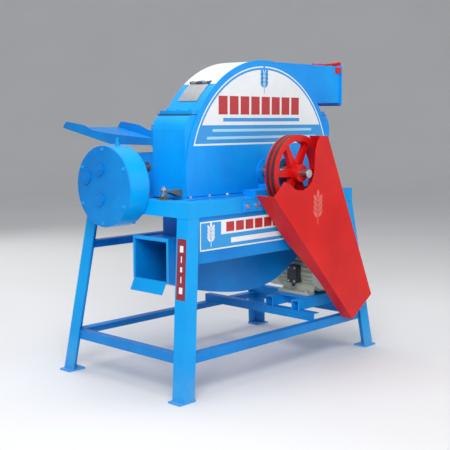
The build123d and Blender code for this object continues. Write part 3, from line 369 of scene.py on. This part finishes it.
turned_y = metal("turned_steel_along_y", *TURNED, (60.0, 1500.0, 60.0))
turned_x = metal("turned_steel_along_x", *TURNED, (1500.0, 60.0, 60.0))
ground_steel = metal("ground_steel", (0.26, 0.26, 0.27), (0.50, 0.50, 0.51), (90.0, 90.0, 700.0))
worked_steel = metal("worked_steel", (0.20, 0.19, 0.18), (0.42, 0.41, 0.40), (120.0, 120.0, 120.0),
                     (0.34, 0.60), rust=0.5, pits=0.3)
cast_iron = metal("cast_iron", (0.13, 0.13, 0.135), (0.24, 0.24, 0.25), (70.0, 70.0, 70.0),
                  (0.5, 0.7), rust=0.3, pits=1.0, metallic=0.8)
zinc = metal("zinc_plated", (0.55, 0.56, 0.55), (0.83, 0.84, 0.82), (140.0, 140.0, 140.0), rust=0.08)
plate_metal = metal("etched_plate", (0.40, 0.42, 0.43), (0.66, 0.68, 0.69), (30.0, 700.0, 30.0),
                    (0.3, 0.45), rust=0.05)

# %% [markdown]
# Rubber and moulded plastic are dark and soft in sheen. A V-belt shows woven cloth on its sides,
# so its recipe has a fine diagonal wave.

# %% Rubber and plastic


def soft_black(name, tone, rough, weave):
    material, t, shader = new_material(name)
    coords = t.add("ShaderNodeTexCoord").outputs["Object"]
    drift = use_group(t, drift_group, Amount=1.0)
    dirt = use_group(t, dust_group, Top=0.5, Low_Down=0.3)
    cloth = t.add("ShaderNodeTexWave", wave_type="BANDS", bands_direction="DIAGONAL")
    cloth.inputs["Scale"].default_value = 170.0
    cloth.inputs["Distortion"].default_value = 1.5
    t.link(coords, cloth.inputs["Vector"])
    colour = t.mix(drift.outputs["Fine"], tone, tuple(c * 2.0 for c in tone))
    colour = t.mix(t.math("MULTIPLY", dirt.outputs["Mask"], 0.5), colour, (0.30, 0.28, 0.25))
    t.link(colour, shader.inputs["Base Color"])
    t.link(t.ramp(drift.outputs["Mask"], 0.0, 1.0, rough, rough + 0.15), shader.inputs["Roughness"])
    height = t.math("MULTIPLY", cloth.outputs["Fac"], weave)
    rounded(t, shader, t.math("ADD", height, t.math("MULTIPLY", drift.outputs["Fine"], 0.2)),
            0.0004, 0.0010)
    return material


belt_rubber = soft_black("belt_rubber", (0.018, 0.018, 0.019), 0.62, 1.0)
gasket_rubber = soft_black("gasket_rubber", (0.03, 0.03, 0.032), 0.7, 0.0)
black_plastic = soft_black("black_plastic", (0.025, 0.025, 0.027), 0.42, 0.0)

# %% [markdown]
# Each CAD node now gets its finish. Nodes keep their meshes; only their material slot changes.

# %% Finishes for the CAD nodes
finish = {
    "long_rails end_rails legs foot_plates gear_case chute_mouth": light_blue_paint,
    # painted shade: these parts take the darker, shaded copy of the blue
    "stretchers motor_rails gear_cover feed_tray lower_housing front_apron": shaded_blue_paint,
    "casing_box casing_bearers front_cover outlet_duct roller_box "
    "stalk_table worm_guard bearing_housings bearing_packings motor_base guard_bracket "
    "shaft_seal_plates": blue_paint,
    # the hood's top sheet carries a painted highlight
    "hood": hood_highlight_paint,
    "belt_guard big_pulley outlet_flap flap_hinge": red_paint,
    "motor_body motor_end_shields fan_cowl": cream_paint,
    "inspection_cover": plate_metal,
    "inspection_hinge clamp_mounts": grey_paint,
    "main_shaft motor_shaft hammer_pins rotor_spacers worm": turned_y,
    "lower_roller upper_roller": turned_x,
    "rotor_discs lower_gear upper_gear worm_wheel": ground_steel,
    "hammers_1 hammers_2 hammers_3 hammers_4 screen": worked_steel,
    "motor_pulley roller_bushes": cast_iron,
    "bolts clamp_eyebolt bearing_inserts": zinc,
    "belts": belt_rubber,
    "seam_gaskets": gasket_rubber,
    "motor_fan terminal_box": black_plastic,
}
for names, material in finish.items():
    for name in names.split():
        data = nodes[name].data
        data.materials.clear()
        data.materials.append(material)
        data.polygons.foreach_set("material_index", [0] * len(data.polygons))
bare = sorted(n for n, o in nodes.items() if o.data.materials[0] not in finish.values())
print("nodes with a finish:", len(nodes) - len(bare), "without:", bare)

# %% [markdown]
# Labels on such a machine are printed vinyl, stuck on flat faces. Here they carry only plain
# bands, rules and a simple ear of grain, never words. Each label is one mesh of very thin closed
# slabs, and a printed layer stands a little prouder than the one below it, as vinyl film does.

# %% Label helpers
LAYER = 0.25    # mm of each printed layer


def vinyl(name, tone, rough=0.32):
    material, t, shader = new_material(name)
    drift = use_group(t, drift_group, Amount=1.0)
    dirt = use_group(t, dust_group, Top=0.4, Low_Down=0.2)
    colour = t.mix(drift.outputs["Mask"], tone, tuple(c * 0.90 for c in tone))
    colour = t.mix(t.math("MULTIPLY", drift.outputs["Fine"], 0.08), colour, (0.35, 0.34, 0.32))
    t.link(t.mix(t.math("MULTIPLY", dirt.outputs["Mask"], 0.4), colour, (0.5, 0.47, 0.41)),
           shader.inputs["Base Color"])
    t.link(t.ramp(drift.outputs["Fine"], 0.0, 1.0, rough, rough + 0.1), shader.inputs["Roughness"])
    bump = t.add("ShaderNodeBump")
    bump.inputs["Distance"].default_value = 0.0002
    t.link(drift.outputs["Fine"], bump.inputs["Height"])
    t.link(bump.outputs[0], shader.inputs["Normal"])
    return material


white_vinyl = vinyl("white_vinyl", (0.88, 0.91, 0.93))
blue_vinyl = vinyl("blue_vinyl", (0.01, 0.33, 0.78))
red_vinyl = vinyl("red_vinyl", (0.52, 0.012, 0.02))
dark_red_vinyl = vinyl("dark_red_vinyl", (0.28, 0.010, 0.03))
guard_print = vinyl("guard_print", (0.80, 0.13, 0.10))
pale_vinyl = vinyl("pale_blue_vinyl", (0.42, 0.75, 0.93))


def new_piece(name, mesh, materials, body="machine"):
    piece = bpy.data.objects.new(name, mesh)
    bpy.context.scene.collection.objects.link(piece)
    for material in materials:
        mesh.materials.append(material)
    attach(piece, body)
    return piece


def slab(bm, outline, index, depth, place):
    """A flat closed slab. outline is in label units, place turns (u, v, d) into the frame."""
    area = sum(a[0] * b[1] - b[0] * a[1] for a, b in zip(outline, outline[1:] + outline[:1]))
    points = outline if area > 0 else outline[::-1]
    low = [bm.verts.new(place(u, v, 0.0)) for u, v in points]
    high = [bm.verts.new(place(u, v, depth)) for u, v in points]
    faces = [bm.faces.new(high), bm.faces.new(low[::-1])]
    count = len(points)
    for i in range(count):
        j = (i + 1) % count
        faces.append(bm.faces.new((low[i], low[j], high[j], high[i])))
    for face in faces:
        face.material_index = index


def finish_label(name, bm, materials, body="machine"):
    bmesh.ops.triangulate(bm, faces=[f for f in bm.faces if len(f.verts) > 4])
    bmesh.ops.recalc_face_normals(bm, faces=bm.faces)
    mesh = bpy.data.meshes.new(name)
    bm.to_mesh(mesh)
    bm.free()
    print(name, len(mesh.polygons), "faces")
    return new_piece(name, mesh, materials, body)


def rectangle(u0, u1, v0, v1):
    return [(u0, v0), (u1, v0), (u1, v1), (u0, v1)]


def ellipse(u, v, a, b, turn, count=20):
    points = []
    for i in range(count):
        t = 2 * math.pi * i / count
        x, y = a * math.cos(t), b * math.sin(t)
        points.append((u + x * math.cos(turn) - y * math.sin(turn),
                       v + x * math.sin(turn) + y * math.cos(turn)))
    return points


def grain_ear(u, v, height):
    """A plain ear of grain: a stalk, paired kernels and one at the tip."""
    kernel = height * 0.145
    shapes = [rectangle(u - height * 0.015, u + height * 0.015, v - height / 2, v + height * 0.30)]
    for i in range(4):
        level = v - height * 0.16 + i * height * 0.15
        for side in (-1, 1):
            shapes.append(ellipse(u + side * height * 0.125, level, kernel * 0.95, kernel * 0.42,
                                  side * math.radians(58)))
    shapes.append(ellipse(u, v + height * 0.42, kernel * 0.42, kernel * 0.9, 0))
    return shapes


# %% [markdown]
# The big front label fills the arch above a level chord. Its border follows the casing's curve,
# so the outline is an arc about the main shaft closed by the chord.

# %% Front label
LABEL_R = 484.0
CHORD_Z = 1044.0
STRIP_TOP = 1124.0
BAR_LEFT, BAR_RIGHT = -248.0, 329.0    # the row of red bars
BAR_LOW, BAR_HIGH = 1171.0, 1253.0
BAR_COUNT, BAR_GAP = 8, 14.0
EAR_Z, EAR_HEIGHT = 1330, 124
RULE_LOW, RULE_HIGH = 1140, 1156       # the blue rule below the bars
STRIP_LINES = (1101, 350), (1068, 385)    # level and half length of each pale line
LINE_HALF = 6


def on_cover(u, v, d):
    return at(u, COVER_Y - d, v)


def arc_segment(radius, low, high=None, count=64):
    """Outline between two levels of a disc about the main shaft."""
    def edge(level):
        return math.degrees(math.asin((level - SHAFT_Z) / radius))
    start = edge(low)
    end = 90.0 if high is None else edge(high)
    right = [start + (end - start) * i / count for i in range(count + 1)]
    points = [(SHAFT_X + radius * math.cos(math.radians(a)),
               SHAFT_Z + radius * math.sin(math.radians(a))) for a in right]
    left = [(2 * SHAFT_X - x, z) for x, z in reversed(points)]
    return points + (left[1:] if high is None else left)


def front_label():
    bm = bmesh.new()
    slab(bm, arc_segment(LABEL_R, CHORD_Z - 8), 0, LAYER, on_cover)
    slab(bm, arc_segment(LABEL_R - 6, CHORD_Z), 1, LAYER * 2, on_cover)
    slab(bm, arc_segment(LABEL_R - 16, STRIP_TOP), 2, LAYER * 3, on_cover)
    for shape in grain_ear(SHAFT_X - 5, EAR_Z, EAR_HEIGHT):
        slab(bm, shape, 1, LAYER * 4, on_cover)
    step = (BAR_RIGHT - BAR_LEFT) / BAR_COUNT
    for i in range(BAR_COUNT):
        u0 = BAR_LEFT + i * step
        bar = rectangle(u0, u0 + step - BAR_GAP, BAR_LOW, BAR_HIGH)
        slab(bm, bar, 3, LAYER * 4, on_cover)
    rule = rectangle(BAR_LEFT + 30, BAR_RIGHT - 10, RULE_LOW, RULE_HIGH)
    slab(bm, rule, 1, LAYER * 4, on_cover)
    for level, half in STRIP_LINES:
        line = rectangle(SHAFT_X - half, SHAFT_X + half, level - LINE_HALF, level + LINE_HALF)
        slab(bm, line, 4, LAYER * 4, on_cover)
    inks = [white_vinyl, blue_vinyl, white_vinyl, red_vinyl, pale_vinyl]
    return finish_label("front_label", bm, inks)


front_label()

# %% [markdown]
# The apron below the top frame has a long label: a white band above, blue below, with the same
# ear of grain at its left end. The near leg has a narrow red strip that is not quite upright,
# because the leg leans, so its outline is placed along the leg's own edge.

# %% Apron and leg labels
APRON_Y = (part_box("front_apron")[0].y - stand.y) / MM


def apron_label():
    def on_apron(u, v, d):
        return at(u, APRON_Y - d, v)

    bm = bmesh.new()
    left, right, low, high = -500.0, 240.0, 601.0, 725.0
    slab(bm, rectangle(left, right, low, high), 0, LAYER, on_apron)
    border, panel_right = 6, left + 128
    blue_band = rectangle(left + border, right - border, low + border, high - 62)
    ear_panel = rectangle(left + border, panel_right, low + 20, high - border)
    slab(bm, blue_band, 1, LAYER * 2, on_apron)
    slab(bm, ear_panel, 1, LAYER * 2.5, on_apron)
    for shape in grain_ear(left + 66, 667, 102):
        slab(bm, shape, 2, LAYER * 4, on_apron)
    bars, pitch, bar_width = 8, 62, 50
    for i in range(bars):
        u0 = left + 160 + i * pitch
        slab(bm, rectangle(u0, u0 + bar_width, 672, 714), 3, LAYER * 3, on_apron)
    white_rule = rectangle(left + 190, right - 40, 622, 644)
    slab(bm, white_rule, 2, LAYER * 4, on_apron)
    return finish_label("apron_label", bm, [white_vinyl, blue_vinyl, white_vinyl, red_vinyl])


apron_label()


def leg_label():
    """Red strip on the near leg's left face, on the outside of its end-on flange."""
    off_face = 0.3

    def place(u, v, d):
        lean = (LEG_TOP - v) / LEG_TOP
        return at(-CORNER_X - SPLAY_X * lean - d - off_face, -CORNER_Y - SPLAY_Y * lean + u, v)

    bm = bmesh.new()
    strip = rectangle(6, 58, 414, 662)
    slab(bm, strip, 0, LAYER, place)
    windows = [(22, 42, 440, 466), (22, 42, 608, 634), (26, 38, 528, 548),
               (29, 35, 484, 510), (29, 35, 566, 592)]
    for window in windows:
        slab(bm, rectangle(*window), 1, LAYER * 2, place)
    return finish_label("leg_label", bm, [dark_red_vinyl, white_vinyl])


leg_label()

# %% [markdown]
# Bolt heads and nuts repeat all over the machine, and each follows the same rule, so a Geometry
# Nodes tree makes them: it puts a hexagon head on a washer at every point it is given, turned to
# the point's normal. Points come from the sizes of the parts that they fasten. One tree with
# named inputs serves every size, and the result becomes a plain mesh for each body.

# %% Bolt tree


def made_by(tree, name, mesh, values, material, body="machine"):
    """Runs a Geometry Nodes tree on a mesh of points or lines and keeps the result as a piece."""
    source = bpy.data.objects.new(name + "_source", mesh)
    bpy.context.scene.collection.objects.link(source)
    modifier = source.modifiers.new("maker", "NODES")
    modifier.node_group = tree
    sockets = {s.name: s.identifier for s in tree.interface.items_tree if s.in_out == "INPUT"}
    for label, value in values.items():
        modifier[sockets[label]] = value
    modifier[sockets["Finish"]] = material
    graph = bpy.context.evaluated_depsgraph_get()
    made = bpy.data.meshes.new_from_object(source.evaluated_get(graph))
    made.name = name
    bpy.data.objects.remove(source)
    print(name, len(made.polygons), "faces")
    return new_piece(name, made, [] if made.materials else [material], body)


def bolt_tree():
    tree = bpy.data.node_groups.new("hex_heads", "GeometryNodeTree")
    face = tree.interface
    face.new_socket("Points", in_out="INPUT", socket_type="NodeSocketGeometry")
    for label, value in (("Across", 0.019), ("Head Height", 0.008), ("Washer Radius", 0.014)):
        face.new_socket(label, in_out="INPUT", socket_type="NodeSocketFloat").default_value = value
    face.new_socket("Seed", in_out="INPUT", socket_type="NodeSocketInt").default_value = 3
    face.new_socket("Finish", in_out="INPUT", socket_type="NodeSocketMaterial")
    face.new_socket("Heads", in_out="OUTPUT", socket_type="NodeSocketGeometry")
    add, link = tree.nodes.new, tree.links.new
    start, end = add("NodeGroupInput"), add("NodeGroupOutput")

    def calc(operation, a, b):
        node = add("ShaderNodeMath")
        node.operation = operation
        link(a, node.inputs[0])
        if isinstance(b, float):
            node.inputs[1].default_value = b
        else:
            link(b, node.inputs[1])
        return node.outputs[0]

    def lifted(mesh, height):
        move, vector = add("GeometryNodeTransform"), add("ShaderNodeCombineXYZ")
        link(height, vector.inputs["Z"])
        link(mesh, move.inputs["Geometry"])
        link(vector.outputs[0], move.inputs["Translation"])
        return move.outputs[0]

    head = add("GeometryNodeMeshCone")
    head.inputs["Vertices"].default_value = 6
    base = calc("MULTIPLY", start.outputs["Across"], 0.577)
    link(base, head.inputs["Radius Bottom"])
    link(calc("MULTIPLY", base, 0.90), head.inputs["Radius Top"])
    link(start.outputs["Head Height"], head.inputs["Depth"])
    washer = add("GeometryNodeMeshCylinder")
    washer.inputs["Vertices"].default_value = 20
    link(start.outputs["Washer Radius"], washer.inputs["Radius"])
    thick = calc("MULTIPLY", start.outputs["Head Height"], 0.25)
    link(thick, washer.inputs["Depth"])
    shank = add("GeometryNodeMeshCylinder")
    shank.inputs["Vertices"].default_value = 14
    link(calc("MULTIPLY", start.outputs["Across"], 0.30), shank.inputs["Radius"])
    link(start.outputs["Head Height"], shank.inputs["Depth"])
    join = add("GeometryNodeJoinGeometry")
    link(lifted(washer.outputs["Mesh"], calc("MULTIPLY", thick, 0.5)), join.inputs[0])
    link(lifted(head.outputs["Mesh"], thick), join.inputs[0])
    end_height = calc("MULTIPLY", start.outputs["Head Height"], 0.85)
    link(lifted(shank.outputs["Mesh"], end_height), join.inputs[0])
    spread = add("GeometryNodeInstanceOnPoints")
    normal = add("GeometryNodeInputNamedAttribute")
    normal.data_type = "FLOAT_VECTOR"
    normal.inputs["Name"].default_value = "facing"
    align = add("FunctionNodeAlignRotationToVector")
    align.axis = "Z"
    link(normal.outputs["Attribute"], align.inputs["Vector"])
    turn, spin = add("FunctionNodeRandomValue"), add("FunctionNodeRotateRotation")
    turn.data_type = "FLOAT"
    turn.inputs[3].default_value = math.pi / 3
    link(start.outputs["Seed"], turn.inputs["Seed"])
    euler, to_rotation = add("ShaderNodeCombineXYZ"), add("FunctionNodeEulerToRotation")
    link(turn.outputs[1], euler.inputs["Z"])
    link(euler.outputs[0], to_rotation.inputs[0])
    spin.rotation_space = "LOCAL"
    link(align.outputs[0], spin.inputs[0])
    link(to_rotation.outputs[0], spin.inputs[1])
    link(start.outputs["Points"], spread.inputs["Points"])
    link(join.outputs[0], spread.inputs["Instance"])
    link(spin.outputs[0], spread.inputs["Rotation"])
    real, coat = add("GeometryNodeRealizeInstances"), add("GeometryNodeSetMaterial")
    link(spread.outputs[0], real.inputs[0])
    link(real.outputs[0], coat.inputs["Geometry"])
    link(start.outputs["Finish"], coat.inputs["Material"])
    link(coat.outputs[0], end.inputs[0])
    return tree


hex_heads = bolt_tree()


def bolt_heads(name, points, facing, across, body="machine", material=None):
    """Bolt heads at points (frame metres), all facing one way, as one plain mesh."""
    mesh = bpy.data.meshes.new(name + "_points")
    mesh.from_pydata([tuple(p) for p in points], [], [])
    mesh.attributes.new("facing", "FLOAT_VECTOR", "POINT")
    for item in mesh.attributes["facing"].data:
        item.vector = facing
    values = {"Across": across * MM, "Head Height": across * 0.42 * MM,
              "Washer Radius": across * 0.72 * MM, "Seed": 7}
    return made_by(hex_heads, name, mesh, values, material or zinc, body)


# %% [markdown]
# Where the bolts go: six round the gear cover's rim, four on the motor's front end shield, four on
# the terminal box's lid, three on each seam flange of the hood, and a row along the casing's front
# flange. All but that row's spacing start from the boxes of the nodes they sit on.

# %% Bolts on the machine
COVER_BOLTS_R = 158.0      # circle of bolts on the gear cover
SHIELD_BOLTS_R = 70.0      # circle of bolts on the motor's end shield
LID_TOP_RISE = 33.0        # top of the terminal box's lid, over the motor shaft
HOOD_R = 508.0
SEAM_STEPS = 30, 103, 176  # bolts along a seam flange of the hood
SEAM_OUT, SEAM_UP = 18, 16
FLANGE_Z = 815.0           # bolt level on the casing's front flange
FLANGE_XS = range(-430, 500, 116)
def ring(x, y, z, radius, count, first, axis):
    points = []
    for i in range(count):
        a = math.radians(first + 360.0 * i / count)
        if axis == "x":
            points.append(at(x, y + radius * math.cos(a), z + radius * math.sin(a)))
        else:
            points.append(at(x + radius * math.cos(a), y, z + radius * math.sin(a)))
    return points


def low_mm(node):
    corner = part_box(node)[0]
    return (corner.x - stand.x) / MM, (corner.y - stand.y) / MM, corner.z / MM


def high_mm(node):
    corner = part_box(node)[1]
    return (corner.x - stand.x) / MM, (corner.y - stand.y) / MM, corner.z / MM


case_low, case_high = low_mm("gear_cover"), high_mm("gear_cover")
case_y, case_z = (case_low[1] + case_high[1]) / 2, (case_low[2] + case_high[2]) / 2
bolt_heads("gear_cover_bolts", ring(case_low[0] + 14, case_y, case_z, COVER_BOLTS_R, 6, 30, "x"),
           (-1, 0, 0), 13, material=light_blue_paint)

shield_y = low_mm("motor_end_shields")[1]
motor = middle("motor_shaft")
motor_x, motor_z = (motor.x - stand.x) / MM, motor.z / MM
shield_ring = ring(motor_x, shield_y + 0.2, motor_z, SHIELD_BOLTS_R, 4, 45, "y")
bolt_heads("motor_shield_bolts", shield_ring, (0, -1, 0), 10)
box_low, box_high = low_mm("terminal_box"), high_mm("terminal_box")
lid_top = motor_z + LID_TOP_RISE
lid = [at(box_low[0], y, z) for z in (lid_top - 9, lid_top - 76)
       for y in (box_low[1] + 9, box_high[1] - 9)]
bolt_heads("terminal_box_screws", lid, (-1, 0, 0), 8)

seam_low = low_mm("hood")
shoulder = math.sqrt(HOOD_R ** 2 - (seam_low[2] - SHAFT_Z) ** 2)
seam = [at(SHAFT_X + side * (shoulder + SEAM_OUT), seam_low[1] + step, seam_low[2] + SEAM_UP)
        for side in (-1, 1) for step in SEAM_STEPS]
bolt_heads("seam_bolts", seam, (0, 0, 1), 13, material=blue_paint)

row = [at(x, COVER_Y - 8, FLANGE_Z) for x in FLANGE_XS]
bolt_heads("casing_flange_bolts", row, (0, 0, 1), 13)

# %% [markdown]
# The bearing housings take a grease nipple each, a small turned part with a waist. A profile spun
# about its axis is the direct way to make it.

# %% Grease nipples
def spun(name, profile, base, material, body="machine", count=20):
    bm = bmesh.new()
    rings = []
    for radius, height in profile:
        rings.append([bm.verts.new(base + Vector((radius * MM * math.cos(2 * math.pi * i / count),
                                                  radius * MM * math.sin(2 * math.pi * i / count),
                                                  height * MM))) for i in range(count)])
    for a, b in zip(rings, rings[1:]):
        for i in range(count):
            j = (i + 1) % count
            bm.faces.new((a[i], a[j], b[j], b[i]))
    bm.faces.new(rings[0][::-1])
    bm.faces.new(rings[-1])
    bmesh.ops.recalc_face_normals(bm, faces=bm.faces)
    mesh = bpy.data.meshes.new(name)
    bm.to_mesh(mesh)
    bm.free()
    return new_piece(name, mesh, [material], body)


housing_low, housing_high = low_mm("bearing_housings"), high_mm("bearing_housings")
nipple = [(5.0, -2.0), (5.0, 3.0), (3.0, 4.0), (3.0, 8.0), (4.2, 9.5), (3.4, 12.0), (2.0, 12.6)]
for label, y in (("front", housing_low[1] + 35), ("rear", housing_high[1] - 35)):
    spun(f"grease_nipple_{label}", nipple, at(SHAFT_X, y, SHAFT_Z + 66), zinc)
print("grease nipples ready")

# %% [markdown]
# The stand is welded. A weld bead is a rope of small overlapping ripples along each joint, so
# Geometry Nodes lay small round blobs along a line, with a fixed seed for their unevenness.

# %% Weld beads
FOOT_X, FOOT_Y = 675.0, 395.2    # outer corner of a leg where it meets its foot plate
FOOT_WELD_Z = 8.5


def weld_tree():
    tree = bpy.data.node_groups.new("weld_bead", "GeometryNodeTree")
    face = tree.interface
    face.new_socket("Lines", in_out="INPUT", socket_type="NodeSocketGeometry")
    for label in ("Ripple Spacing", "Bead Radius"):
        face.new_socket(label, in_out="INPUT", socket_type="NodeSocketFloat").default_value = 0.0035
    face.new_socket("Seed", in_out="INPUT", socket_type="NodeSocketInt").default_value = 5
    face.new_socket("Finish", in_out="INPUT", socket_type="NodeSocketMaterial")
    face.new_socket("Bead", in_out="OUTPUT", socket_type="NodeSocketGeometry")
    add, link = tree.nodes.new, tree.links.new
    start, end = add("NodeGroupInput"), add("NodeGroupOutput")
    curve, points = add("GeometryNodeMeshToCurve"), add("GeometryNodeCurveToPoints")
    points.mode = "LENGTH"
    link(start.outputs["Lines"], curve.inputs[0])
    link(curve.outputs[0], points.inputs["Curve"])
    link(start.outputs["Ripple Spacing"], points.inputs["Length"])
    blob = add("GeometryNodeMeshIcoSphere")
    blob.inputs["Subdivisions"].default_value = 1
    link(start.outputs["Bead Radius"], blob.inputs["Radius"])
    size = add("FunctionNodeRandomValue")
    size.data_type = "FLOAT"
    size.inputs[2].default_value = 0.85
    size.inputs[3].default_value = 1.15
    link(start.outputs["Seed"], size.inputs["Seed"])
    spread = add("GeometryNodeInstanceOnPoints")
    link(points.outputs["Points"], spread.inputs["Points"])
    link(blob.outputs["Mesh"], spread.inputs["Instance"])
    link(size.outputs[1], spread.inputs["Scale"])
    real, coat = add("GeometryNodeRealizeInstances"), add("GeometryNodeSetMaterial")
    link(spread.outputs[0], real.inputs[0])
    link(real.outputs[0], coat.inputs["Geometry"])
    link(start.outputs["Finish"], coat.inputs["Material"])
    link(coat.outputs[0], end.inputs[0])
    return tree


weld_bead = weld_tree()


def welds(name, lines, radius, material):
    """One weld bead along each line of frame points, as a plain mesh."""
    points, edges = [], []
    for line in lines:
        first = len(points)
        points += [tuple(p) for p in line]
        edges += [(first + i, first + i + 1) for i in range(len(line) - 1)]
    mesh = bpy.data.meshes.new(name + "_lines")
    mesh.from_pydata(points, edges, [])
    values = {"Ripple Spacing": radius * 0.9 * MM, "Bead Radius": radius * MM, "Seed": 11}
    return made_by(weld_bead, name, mesh, values, material)


def stand_welds():
    lines = []
    for sx in (-1, 1):
        for sy in (-1, 1):
            x, y = sx * CORNER_X, sy * CORNER_Y
            lines.append([at(x - sx * 2, y, LEG_TOP), at(x - sx * ANGLE, y, LEG_TOP)])
            lines.append([at(x, y - sy * 2, LEG_TOP), at(x, y - sy * ANGLE, LEG_TOP)])
            foot = at(sx * FOOT_X, sy * FOOT_Y, FOOT_WELD_Z)
            lines.append([foot, at(sx * FOOT_X - sx * ANGLE, sy * FOOT_Y, FOOT_WELD_Z)])
            lines.append([foot, at(sx * FOOT_X, sy * FOOT_Y - sy * ANGLE, FOOT_WELD_Z)])
    return welds("stand_welds", lines, 3.0, light_blue_paint)


stand_welds()

# %% [markdown]
# The belt guard's front and side walls meet in a folded corner with a rolled safety edge round
# the pulley opening. The edge is a round wire that follows the opening, so a curve with a round
# bevel makes it. The guard's front also carries a plain ear of grain.

# %% Rolled edge of the guard opening, and the printed mark
GUARD_Y = low_mm("belt_guard")[1]
WIRE_R = 2.6
MARK_X, MARK_Z, MARK_HEIGHT = 138, 748, 150


def guard_edge():
    opening = [(156, 1075), (134, 1046), (121, 1010), (117, 960), (113, 908), (95, 868), (62, 842),
               (25, 831), (-20, 838), (-60, 862), (-103, 878)]
    curve = bpy.data.curves.new("guard_edge_path", "CURVE")
    curve.dimensions = "3D"
    curve.bevel_depth = WIRE_R * MM
    curve.bevel_resolution = 3
    curve.use_fill_caps = True
    spline = curve.splines.new("POLY")
    spline.points.add(len(opening) - 1)
    for point, (x, z) in zip(spline.points, opening):
        point.co = (*at(x, GUARD_Y + 2.8, z), 1.0)
    source = bpy.data.objects.new("guard_edge_source", curve)
    bpy.context.scene.collection.objects.link(source)
    made = bpy.data.meshes.new_from_object(source)
    made.name = "guard_rolled_edge"
    bpy.data.objects.remove(source)
    return new_piece("guard_rolled_edge", made, [red_paint])


guard_edge()


def guard_mark():
    """A plain ear of grain printed on the guard's front, slightly lighter than its paint."""
    bm = bmesh.new()
    for shape in grain_ear(MARK_X, MARK_Z, MARK_HEIGHT):
        slab(bm, shape, 0, LAYER, lambda u, v, d: at(u, GUARD_Y - d, v))
    return finish_label("guard_mark", bm, [guard_print])


guard_mark()

# %% [markdown]
# The studio is a plain pale floor that sweeps up into a round wall far outside the machine, so
# there is no horizon from any side. Of four soft lights, a strong one high over the near corner and
# a weak one from the right do the modelling, so the cover's face falls off to the right. One from
# above and one from behind open the shadows.

# %% Floor and lights


def floor_material():
    material, t, shader = new_material("studio_floor")
    coords = t.add("ShaderNodeTexCoord").outputs["Object"]
    t.link(t.mix(t.ramp(t.noise(coords, 0.8), 0.3, 0.7), (0.78, 0.78, 0.78), (0.81, 0.81, 0.81)),
           shader.inputs["Base Color"])
    shader.inputs["Roughness"].default_value = 0.85
    return material


def studio_floor(flat=9.0, sweep=6.0, top=11.0, sides=96, steps=14):
    """A round floor that curves up into a wall, as one smooth sheet facing inwards."""
    profile = [(0.4, 0.0), (3.0, 0.0), (flat, 0.0)]
    for i in range(1, steps + 1):
        a = math.pi / 2 * i / steps
        profile.append((flat + sweep * math.sin(a), sweep * (1 - math.cos(a))))
    profile.append((flat + sweep, top))
    bm = bmesh.new()
    turns = [2 * math.pi * i / sides for i in range(sides)]
    rings = [[bm.verts.new((r * math.cos(a), r * math.sin(a), z)) for a in turns] for r, z in profile]
    bm.faces.new(rings[0])
    for inner, outer in zip(rings, rings[1:]):
        for i in range(sides):
            j = (i + 1) % sides
            bm.faces.new((inner[i], outer[i], outer[j], inner[j])).smooth = True
    mesh = bpy.data.meshes.new("studio_floor")
    bm.to_mesh(mesh)
    bm.free()
    mesh.materials.append(floor_material())
    floor = bpy.data.objects.new("studio_floor", mesh)
    bpy.context.scene.collection.objects.link(floor)


studio_floor()


def area_light(name, place, target, size, power, tone=(1.0, 1.0, 1.0)):
    lamp = bpy.data.lights.new(name, "AREA")
    lamp.shape, lamp.size = "SQUARE", size
    lamp.energy, lamp.color = power, tone
    light = bpy.data.objects.new(name, lamp)
    light.location = place
    light.rotation_euler = (Vector(target) - Vector(place)).to_track_quat("-Z", "Y").to_euler()
    bpy.context.scene.collection.objects.link(light)
    return light


area_light("key", (-3.4, -3.0, 3.4), (0, 0, 0.7), 2.6, 185)
area_light("fill", (2.4, -3.6, 1.9), (0, 0, 0.6), 3.0, 26)
area_light("top", (-0.3, 0.4, 4.2), (0, 0, 1.0), 2.4, 66)
area_light("back", (0.5, 4.2, 2.6), (0, 0, 0.8), 3.0, 45)
world = bpy.data.worlds.new("soft_sky")
bpy.context.scene.world = world
world.use_nodes = True
sky = world.node_tree.nodes["Background"]
sky.inputs["Color"].default_value = (0.93, 0.95, 1.0, 1.0)
sky.inputs["Strength"].default_value = 0.45
# plain tone mapping keeps the paint as saturated as it is
bpy.context.scene.view_settings.view_transform = "Standard"
print("studio ready")

# %% [markdown]
# The camera stands off the near left corner, a little above the machine's waist, with a longish
# lens, and looks slightly down.

# %% Camera
SENSOR = 36.0
FOCAL, IMAGE_WIDTH = 903.7, 450    # focal length, in the unit that makes the image this wide
CAMERA_PLACE = -3146, -2944, 1154
LOOK_DOWN, LOOK_TURN = 6.73, -46.83    # degrees
camera_data = bpy.data.cameras.new("camera")
camera_data.sensor_width = SENSOR
camera_data.lens = FOCAL * SENSOR / IMAGE_WIDTH
camera_data.clip_end = 200.0
camera = bpy.data.objects.new("camera", camera_data)
camera.location = at(*CAMERA_PLACE)
camera.rotation_euler = (math.radians(90 - LOOK_DOWN), 0, math.radians(LOOK_TURN))
bpy.context.scene.collection.objects.link(camera)
bpy.context.scene.camera = camera

# %% [markdown]
